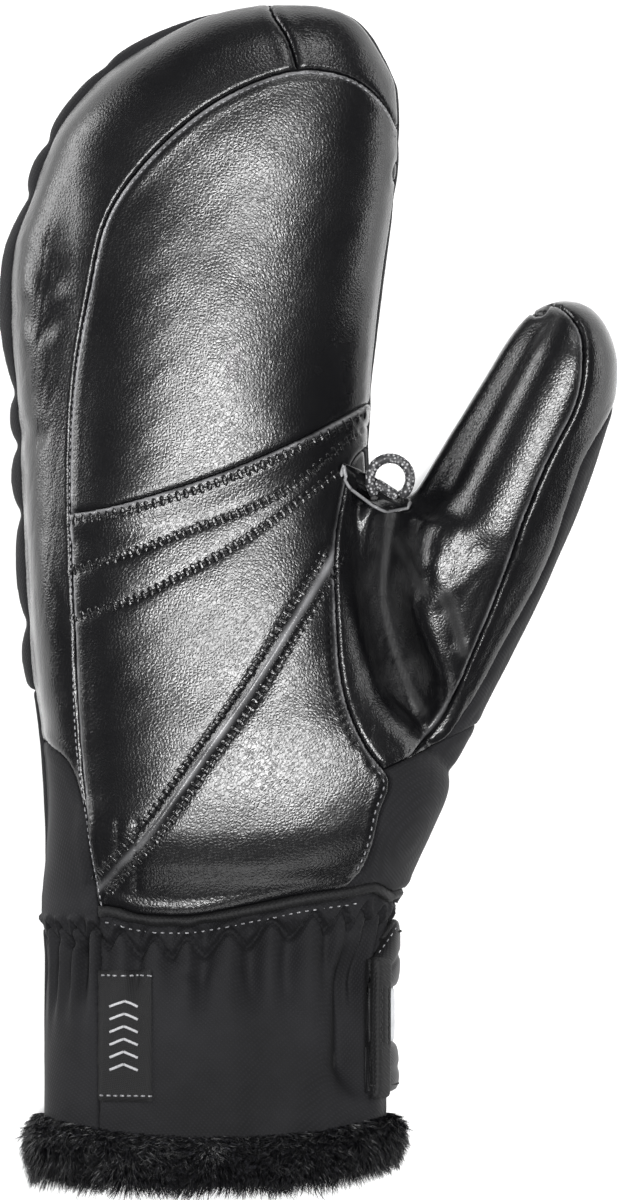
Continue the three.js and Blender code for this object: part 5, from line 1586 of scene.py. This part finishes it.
    def sewn(self) -> Solid:
        """Two upright rows on the end strip, and one row along the strap's top and bottom folds."""
        made = []
        for a in (22.6, 28.2):
            ys = np.arange(-20.0, -35.5, -1.9)
            for y in ys:
                made.append(self.one(np.full(5, a), np.linspace(y, y - 1.25, 5), 3.85, 0.27))
        for y, low, high in ((-6.3, -66, 8), (-44.2, -66, 33)):
            for a in np.arange(low, high, 1.9):
                made.append(self.one(np.linspace(a, a + 1.1, 5), np.full(5, y), 3.25, 0.22))
        return merged(made)

    def one(self, angles: Array, ys: Array, lift: float, thick: float) -> Solid:
        """One stitch on the strap."""
        turn = np.radians(angles)
        s = np.linspace(-1, 1, len(ys))
        path = FORM.evenly(ys, turn, lift - 0.3 * s**4)
        up = FORM.evenly(ys, turn, np.full(len(ys), lift + 1.0)) - FORM.evenly(ys, turn, np.full(len(ys), lift))
        return tube(path, up / np.linalg.norm(up, axis=1)[:, None], thick, thick * 0.8, 6)


@dataclass
class Label:
    """Woven damask label on the cuff, with plain chevrons in place of any words."""

    surface: Surface
    thickness: float = 0.8

    def place(self, u: Array, v: Array, lift: Array | float) -> Array:
        """Points over the cuff from shares across and down the label."""
        x = SIZE.label_left + u * SIZE.label_width
        y = -SIZE.label_top - v * SIZE.label_height
        base, ups = self.surface.over(np.column_stack([x.ravel(), y.ravel()]))
        return (base + ups * (np.zeros(len(base)) + np.ravel(lift))[:, None]).reshape(*u.shape, 3)

    def build(self) -> None:
        """Make the label, its woven marks and its stitches."""
        u, v = np.meshgrid(np.linspace(0, 1, 34), np.linspace(0, 1, 76))
        edge = np.minimum.reduce([u * SIZE.label_width, (1 - u) * SIZE.label_width, v * SIZE.label_height,
                                  (1 - v) * SIZE.label_height])
        rise = self.thickness * (0.35 + 0.65 * smoothstep(edge, 0.0, 0.5))
        top = self.place(u, v, rise)
        for _ in range(10):
            top[1:-1, 1:-1] = 0.5 * top[1:-1, 1:-1] + 0.125 * (
                top[:-2, 1:-1] + top[2:, 1:-1] + top[1:-1, :-2] + top[1:-1, 2:])
        low = top - np.array([0, 0, 1.3])
        low[..., 0] *= 1.0
        faces = grid(top)
        under = grid(low)
        rim = [merged([grid(np.stack([top[0], low[0]])), grid(np.stack([low[-1], top[-1]])),
                       grid(np.stack([low[:, 0], top[:, 0]])), grid(np.stack([top[:, -1], low[:, -1]]))])]
        del under
        piece = MAKER.piece("label_weave", merged([faces, *rim]), Finishes.LABEL, "label", ["label"])
        self.top = top
        MAKER.piece("label_marks", self.marks(), Finishes.MARK, "label")
        MAKER.piece("label_stitches", self.sewn(), Finishes.PALE_THREAD, "cord")

    def on(self, u: float, v: float) -> Array:
        """Point on the label's own face."""
        rows, cols = self.top.shape[:2]
        i, j = min(v * (rows - 1), rows - 1.001), min(u * (cols - 1), cols - 1.001)
        a, b = int(i), int(j)
        s, t = i - a, j - b
        p = self.top
        return (p[a, b] * (1 - s) * (1 - t) + p[a + 1, b] * s * (1 - t) + p[a, b + 1] * (1 - s) * t
                + p[a + 1, b + 1] * s * t)

    def line(self, points: Sequence[tuple[float, float]], half: float, lift: float = 0.06) -> Solid:
        """Flat woven stroke through places on the label."""
        path = spline(points, 0.03) if len(points) > 2 else resample(np.array(points, float), 0.05)
        mid = np.array([self.on(u, v) for u, v in path]) + (0, 0, lift)
        return tube(mid, np.tile((0.0, 0.0, 1.0), (len(mid), 1)), half, 0.07, 6)

    def marks(self) -> Solid:
        """A stack of chevrons, as plain woven trims have."""
        made = []
        for k in range(6):
            v = 0.24 + 0.095 * k
            made.append(self.line([(0.24, v + 0.045), (0.5, v)], 0.34))
            made.append(self.line([(0.5, v), (0.76, v + 0.045)], 0.34))
        return merged(made)

    def sewn(self) -> Solid:
        """Rows of pale stitches along the top, and a few at the foot."""
        made = []
        for v, us in ((0.045, np.arange(0.07, 0.95, 0.125)), (0.955, np.arange(0.07, 0.95, 0.125))):
            for u in us:
                s = np.linspace(-1, 1, 5)
                mid = np.array([self.on(u + 0.032 * (x + 1), v) for x in s]) + np.column_stack(
                    [0 * s, 0 * s, 0.16 - 0.25 * s**4])
                made.append(tube(mid, np.tile((0.0, 0.0, 1.0), (5, 1)), 0.24, 0.2, 6))
        return merged(made)


# Pole loop


# Outline of the patch, measured from the crotch.
PATCH = ((-10.8, 9.3), (-10.0, 5.25), (-7.5, 1.9), (-1.2, -2.2), (3.7, -3.1), (6.5, -0.15), (2.6, 1.65),
         (-3.4, 6.15))
PATCH_EDGE = ((143, 443), (145, 427), (155, 413), (180, 397), (200, 393), (211, 405))


@dataclass
class PoleLoop:
    """Cord loop at the thumb's crotch, held by a sleeve in a leather patch."""

    surface: Surface
    cord_radius: float = 1.25
    loop_radius: float = 5.0

    def patch(self) -> Solid:
        """Leaf of leather, domed over its filling, with a folded edge."""
        outline = spline([CROTCH + np.array(p) for p in (*PATCH, PATCH[0])], 0.8)[:-1]
        centre = outline.mean(axis=0)
        rings = []
        low, _ = self.surface.over(outline)
        for share, rise in ((1.0, -0.8), (1.0, 0.5), (0.985, 1.1), (0.95, 1.35), (0.88, 1.25), (0.78, 1.1),
                            (0.6, 1.15), (0.4, 1.2), (0.2, 1.2), (0.02, 1.2)):
            plan = centre + (outline - centre) * share
            base, _ = self.surface.over(plan)
            z = np.minimum(base[:, 2], 40.5) if share < 0.9 else np.minimum(base[:, 2], low[:, 2] + 1.5)
            rings.append(np.column_stack([plan, z + rise]))
        stack = np.stack(rings)
        for _ in range(3):
            stack[2:, :, 2] = 0.5 * stack[2:, :, 2] + 0.25 * (np.roll(stack[2:, :, 2], 1, 1)
                                                             + np.roll(stack[2:, :, 2], -1, 1))
        return capped(stack[:, ::-1])

    def piping(self) -> Solid:
        """Thin rolled edge along the patch's lower side."""
        line = spline([mark(*p) for p in PATCH_EDGE], 0.7)
        base, ups = self.patch_surface.over(line)
        path = base + ups * 0.25
        return tube(path, ups, 0.5, 0.42, 8)

    def cord_path(self) -> Array:
        """The loop's middle line: up one leg, round the arch and down the other."""
        lower, _ = self.surface.over(np.array([[42.5, 103.0], [51.0, 103.0]]))
        mid = np.array([47.25, 106.75])
        arch = [mid + self.loop_radius * np.array([math.cos(a), math.sin(a)])
                for a in np.linspace(math.radians(190), math.radians(-12), 14)]
        first = [(42.6, 104.5), (43.4, 102.9)]
        last = [(51.3, 103.6), (50.2, 102.6)]
        plan = [first[1], first[0], *map(tuple, arch), last[0], last[1]]
        heights = [40.4, 41.0, *([41.3] * 14), 41.0, 40.4]
        del lower
        return spline([(x, y, z) for (x, y), z in zip(plan, heights)], 0.35)

    def cord(self) -> Solid:
        """Braided cord: its section is waved by the yarns that cross over it."""
        path = self.cord_path()
        along, side, top = frames_along(path, np.tile((0.0, 0.0, 1.0), (len(path), 1)))
        turn = np.linspace(0, 2 * math.pi, 24, endpoint=False)
        run = np.concatenate([[0], np.cumsum(np.linalg.norm(np.diff(path, axis=0), axis=1))])
        wave = np.sin(turn[None] * 4 + run[:, None] * 2.6) * np.sin(turn[None] * 4 - run[:, None] * 2.6)
        r = self.cord_radius * (0.94 + 0.09 * np.abs(wave))
        ring = path[:, None] + side[:, None] * (np.cos(turn) * r)[..., None] + top[:, None] * (
            np.sin(turn) * r)[..., None]
        return capped(ring[:, ::-1])

    def sleeve(self) -> Solid:
        """Knitted sleeve over the cord's two ends, lying in the patch's slot."""
        slope = math.radians(-33)
        mid = SLEEVE_MIDDLE
        way = np.array([math.cos(slope), math.sin(slope)])
        s = np.linspace(-1, 1, 40)
        plan = mid + way * (s * 3.3)[:, None]
        path = np.column_stack([plan, 41.35 + 0.1 * (1 - s**2)])
        rib = 1.3 * (1 + 0.05 * np.sin(s * 38)) * np.sqrt(np.clip(1 - s**10 * 0.75, 0.05, 1))
        return tube(path, np.tile((0.0, 0.0, 1.0), (len(path), 1)), rib, rib, 16)

    def slot(self) -> Solid:
        """Dark matt strip laid in the slot beside the sleeve: painted shade for the slot's shadow."""
        line = spline([mark(157, 421), mark(178, 410), mark(200, 400)], 0.7)
        base, ups = self.patch_surface.over(line)
        t = np.linspace(-1, 1, len(line))
        return tube(base - ups * 0.1, ups, 0.55 * np.sqrt(np.clip(1.02 - t**4, 0, 1)), 0.25, 8)

    def build(self) -> None:
        """Make patch, piping, the slot's painted shade, sleeve and cord."""
        solid = self.patch()
        patch = MAKER.piece("loop_patch_leather", solid, Finishes.LEATHER, "leather", ["loop_patch"])
        self.patch_surface = Surface(solid)
        piping = self.piping()
        # The whole piping is painted pale: partly wear, partly a painted highlight on its rolled edge.
        MAKER.piece("loop_patch_piping", piping, Finishes.LEATHER, "leather", worn=np.full(len(piping.points), 1.0))
        # A dark matt strip in the slot: painted shade.
        MAKER.piece("loop_slot", self.slot(), Finishes.LINING, "softshell")
        MAKER.piece("loop_sleeve_knit", self.sleeve(), Finishes.CORD, "cord", ["loop_sleeve"])
        MAKER.piece("loop_cord_braid", self.cord(), Finishes.CORD, "cord", ["loop_cord"])


# Hem and lining


@dataclass
class Hem:
    """Band of pile round the hem, over a knitted backing."""

    above: float = 5.5
    below: float = 11.5
    hairs: int = 46000
    seed: int = 7

    def top_at(self, angle: Array) -> Array:
        """Height of the pile's upper edge."""
        return -SIZE.cuff_length + self.above + 4.6 * np.cos(angle) ** 2

    def low_at(self, angle: Array) -> Array:
        """Height of the pile's lower edge, which rises at the right."""
        across = np.cos(angle)
        return -SIZE.cuff_length - self.below + 7 * np.maximum(0, across) ** 3 + 2.5 * np.maximum(0, -across) ** 3

    def backing(self) -> Solid:
        """Rolled knitted backing, open in the middle."""
        angles = np.linspace(0, 2 * math.pi, 200, endpoint=False)
        rings = []
        turn = np.linspace(0, 2 * math.pi, 22, endpoint=False)
        for a in angles:
            high, low = float(self.top_at(np.array(a))), float(self.low_at(np.array(a)))
            mid, half = (high + low) / 2, (high - low) / 2 - 2.4
            y = mid + half * np.cos(turn)
            lift = 0.4 + 1.5 * np.sin(turn)
            rings.append(FORM.evenly(y, np.full(len(turn), a), lift))
        return grid(np.stack(rings), closed_u=True, closed_v=True)

    def pile(self, part: int) -> Solid:
        """Hairs as thin tapered ribbons that bend down and out in loose locks.

        Args:
            part: Which half of the hairs.

        Returns:
            The mesh.
        """
        rng = np.random.default_rng(self.seed + part)
        n = self.hairs // 2
        angle = rng.uniform(0, 2 * math.pi, n)
        share = rng.beta(1.1, 1.0, n)
        inner = rng.random(n) < 0.16
        high, low = self.top_at(angle) - 1.8, self.low_at(angle) + 3.4
        y = high + (low - high) * share
        lift = np.where(inner, -0.9, 1.7 * np.sin(np.pi * np.clip(share, 0.08, 0.92)) + 0.4)
        root = FORM.evenly(y, angle, lift)
        outer = FORM.evenly(y, angle, lift + 1.0)
        out = outer - root
        out /= np.maximum(np.linalg.norm(out, axis=1), 1e-6)[:, None]
        around = np.cross(out, np.array([0.0, 1.0, 0.0]))
        around /= np.maximum(np.linalg.norm(around, axis=1), 1e-6)[:, None]
        # Hairs lean to the middle of their own lock, so the pile parts into wavy tufts.
        locks = 1100
        seed_angle = rng.uniform(0, 2 * math.pi, locks)
        seed_share = rng.random(locks)
        spread = np.column_stack([seed_angle * 36, seed_share * 17])
        tree = KDTree(locks)
        for i, (u, v) in enumerate(spread.tolist()):
            tree.insert((u, v, 0.0), i)
        tree.balance()
        own = np.array([tree.find((u, v, 0.0))[1] for u, v in zip((angle * 36).tolist(), (share * 17).tolist())])
        lean = rng.normal(size=locks)
        drop = rng.uniform(0.1, 1.0, locks)
        lush = rng.uniform(0.8, 1.2, locks)
        to_lock = np.column_stack([(seed_angle[own] - angle) * 36, (share - seed_share[own]) * 17])
        drift = ripple(root, 17.0, 4.0)
        length = rng.uniform(5.2, 7.6, n) * lush[own] * (1.0 - 0.25 * (share < 0.1)) * np.where(inner, 0.55, 1.0)
        # The upper hairs lie over sideways, and the lower ones fall past the hem.
        fall = 0.15 + 0.85 * share
        down = np.array([0.0, -1.0, 0.0])
        start = out * (1.0 - 0.4 * share)[:, None] + down * (fall * 0.5)[:, None]
        start += around * (0.5 * drift + 0.2 * rng.normal(size=n))[:, None]
        start[inner] = down - out[inner] * 0.2 + 0.2 * rng.normal(size=(int(inner.sum()), 3))
        sideways = 0.95 * lean[own] * (1.1 - 0.5 * share) + 0.5 * drift - 0.28 * to_lock[:, 0]
        sinking = (0.2 + 0.75 * share) * (0.6 + 0.8 * drop[own]) - 0.22 * to_lock[:, 1]
        end = out * 0.15 + down * sinking[:, None] + around * (sideways + 0.15 * rng.normal(size=n))[:, None]
        start /= np.linalg.norm(start, axis=1)[:, None]
        end /= np.linalg.norm(end, axis=1)[:, None]
        steps = np.array([0.0, 0.4, 0.75, 1.0])
        spine = root[:, None] + length[:, None, None] * (
            start[:, None] * (steps - 0.5 * steps**2)[None, :, None] + end[:, None] * (0.5 * steps**2)[None, :, None])
        along = spine[:, -1] - spine[:, 0]
        flat = np.cross(along, out + 0.4 * rng.normal(size=(n, 3)))
        flat /= np.maximum(np.linalg.norm(flat, axis=1), 1e-6)[:, None]
        half = rng.uniform(0.055, 0.1, n)[:, None] * np.array([1.0, 0.9, 0.6])[None]
        left = spine[:, :3] - flat[:, None] * half[..., None]
        right = spine[:, :3] + flat[:, None] * half[..., None]
        points = np.concatenate([left, right, spine[:, 3:]], axis=1).reshape(-1, 3)
        points[:, 2] = np.maximum(points[:, 2], 0.15)
        base = (np.arange(n) * 7)[:, None]
        quads = np.array([[0, 3, 4, 1], [1, 4, 5, 2], [2, 5, 6, 6]])
        faces = (base[:, None] + quads[None]).reshape(-1, 4)
        return Solid(points, faces)

    def build(self) -> None:
        """Make backing and pile."""
        back = MAKER.piece("fur_backing", self.backing(), Finishes.PILE, "pile", ["fur_trim"])
        for part in range(2):
            hairs = MAKER.piece(f"fur_pile_{part}", self.pile(part), Finishes.PILE, "pile")


@dataclass
class Lining:
    """Fleece lining, seen through the cuff's mouth."""

    fleece: float = 0.5

    def build(self) -> None:
        """Make the inner wall, closed at its far end."""
        ys = np.linspace(-SIZE.cuff_length - 4, 212, 150)
        angles = np.linspace(0, 2 * math.pi, 160, endpoint=False)
        yy, aa = ys[:, None] + 0 * angles, 0 * ys[:, None] + angles
        hand = smoothstep(yy, -20, 20)
        # The elastic draws the wall in below the wrist, so the fleece lies deeper there.
        drawn = 3.2 * (1 - smoothstep(-yy, 32.0, 44.0))
        front = -(SIZE.cuff_wall + (SIZE.palm_wall - SIZE.cuff_wall) * hand + drawn)
        back = -(SIZE.cuff_wall + (SIZE.back_wall - SIZE.cuff_wall) * hand + drawn)
        inner = FORM.body(yy, aa, front, front, back)
        flat = inner.reshape(-1, 3)
        flat[:, 2] -= 1.25 * cuff_dent(flat) * (np.sin(aa.ravel()) > 0)
        middle = flat.copy()
        s = FORM.body_at(flat[:, 1])
        middle[:, 0], middle[:, 2] = (s["left"] + s["right"]) / 2, s["seam"]
        pull = middle - flat
        pull /= np.maximum(np.linalg.norm(pull, axis=1), 1e-6)[:, None]
        flat = flat + pull * (self.fleece * (ripple(flat, 6.0, 9.0) + 0.5 * ripple(flat, 2.5, 8.0)))[:, None]
        inner = flat.reshape(inner.shape)
        solid = grid(inner[:, ::-1], closed_v=True)
        tip = inner[-1].mean(axis=0)
        cols = len(angles)
        base = (len(ys) - 1) * cols
        j = np.arange(cols)
        fan = np.column_stack([base + j, base + (j + 1) % cols, np.full(cols, len(solid.points)),
                               np.full(cols, len(solid.points))])
        solid = Solid(np.vstack([solid.points, tip]), np.vstack([solid.faces, fan]))
        piece = MAKER.piece("inner_lining", solid, Finishes.LINING, "softshell")


# Stage


@dataclass(frozen=True)
class Lamp:
    """A softbox: where it stands, what it faces, its size and its power."""

    name: str
    place: tuple[float, float, float]
    aim: tuple[float, float, float]
    size: tuple[float, float]
    watts: float

    def build(self) -> None:
        """Hang the softbox."""
        data = bpy.data.lights.new(self.name, "AREA")
        data.shape = "RECTANGLE"
        data.size, data.size_y = self.size
        data.energy = self.watts
        obj = bpy.data.objects.new(self.name, data)
        obj.location = self.place
        way = Vector(self.aim) - Vector(self.place)
        obj.rotation_euler = way.to_track_quat("-Z", "Y").to_euler()
        bpy.context.collection.objects.link(obj)


@dataclass
class Studio:
    """White sweep, softboxes and a camera straight above, as for a catalogue."""

    world: float = 0.1
    lamps: tuple[Lamp, ...] = (
        Lamp("overhead_box", (0.12, 0.1, 3.4), (0.0, 0.0, 0.0), (0.3, 1.9), 165.0),
        Lamp("left_strip", (-1.1, 0.5, 0.2), (0.0, 0.07, 0.05), (0.8, 0.34), 11.0),
        Lamp("right_strip", (1.1, 0.15, 0.1), (0.0, 0.0, 0.06), (1.3, 0.12), 3.5),
        Lamp("tip_box", (0.5, 1.5, 1.3), (0.0, 0.1, 0.05), (0.8, 0.3), 9.0),
        Lamp("foot_fill", (0.1, -1.4, 1.0), (0.0, 0.0, 0.03), (1.0, 0.5), 5.0),
    )

    def build(self) -> None:
        """Make floor, lights and camera."""
        mesh = bpy.data.meshes.new("sweep")
        half = 3.0
        p = [(-half, -half, 0.0), (half, -half, 0.0), (half, half, 0.0), (-half, half, 0.0)]
        mesh.from_pydata(p, [], [(0, 1, 2, 3)])
        mesh.materials.append(Finishes.PAPER.value.material())
        floor = bpy.data.objects.new("sweep", mesh)
        bpy.context.collection.objects.link(floor)
        for lamp in self.lamps:
            lamp.build()
        world = bpy.data.worlds.new("studio")
        world.use_nodes = True
        world.node_tree.nodes["Background"].inputs[0].default_value = linear("#ffffff")
        world.node_tree.nodes["Background"].inputs[1].default_value = self.world
        scene = bpy.context.scene
        scene.world = world
        scene.view_settings.view_transform = "Standard"
        data = bpy.data.cameras.new("camera")
        data.lens, data.sensor_width = 360.0, 36.0
        data.clip_start, data.clip_end = 0.1, 20.0
        camera = bpy.data.objects.new("camera", data)
        camera.location = (0.000125, -0.00025, 3.025)
        bpy.context.collection.objects.link(camera)
        scene.camera = camera


def main() -> None:
    """Build the mitten piece by piece, then its studio."""
    logging.basicConfig(level=logging.INFO, format="%(relativeCreated)d ms: %(message)s")
    Studio().build()
    rows = sewing()
    Skin(folds=FOLDS + ridge_folds(), rows=rows).build()
    surface = Surface.of_skin()
    for finish, name, slot in ((Finishes.THREAD, "palm_stitches", "cord"),
                               (Finishes.PALE_THREAD, "pale_stitches", "cord")):
        MAKER.piece(name, stitches(surface, [r for r in rows if r.finish is finish]), finish, slot)
    bold = [r for r in rows if r.furrow >= 0.4]
    MAKER.piece("palm_puckers", puckers(surface, bold), Finishes.LEATHER, "leather")
    Lining().build()
    Strap().build()
    Label(surface).build()
    PoleLoop(surface).build()
    Hem().build()


if __name__ == "__main__":
    main()
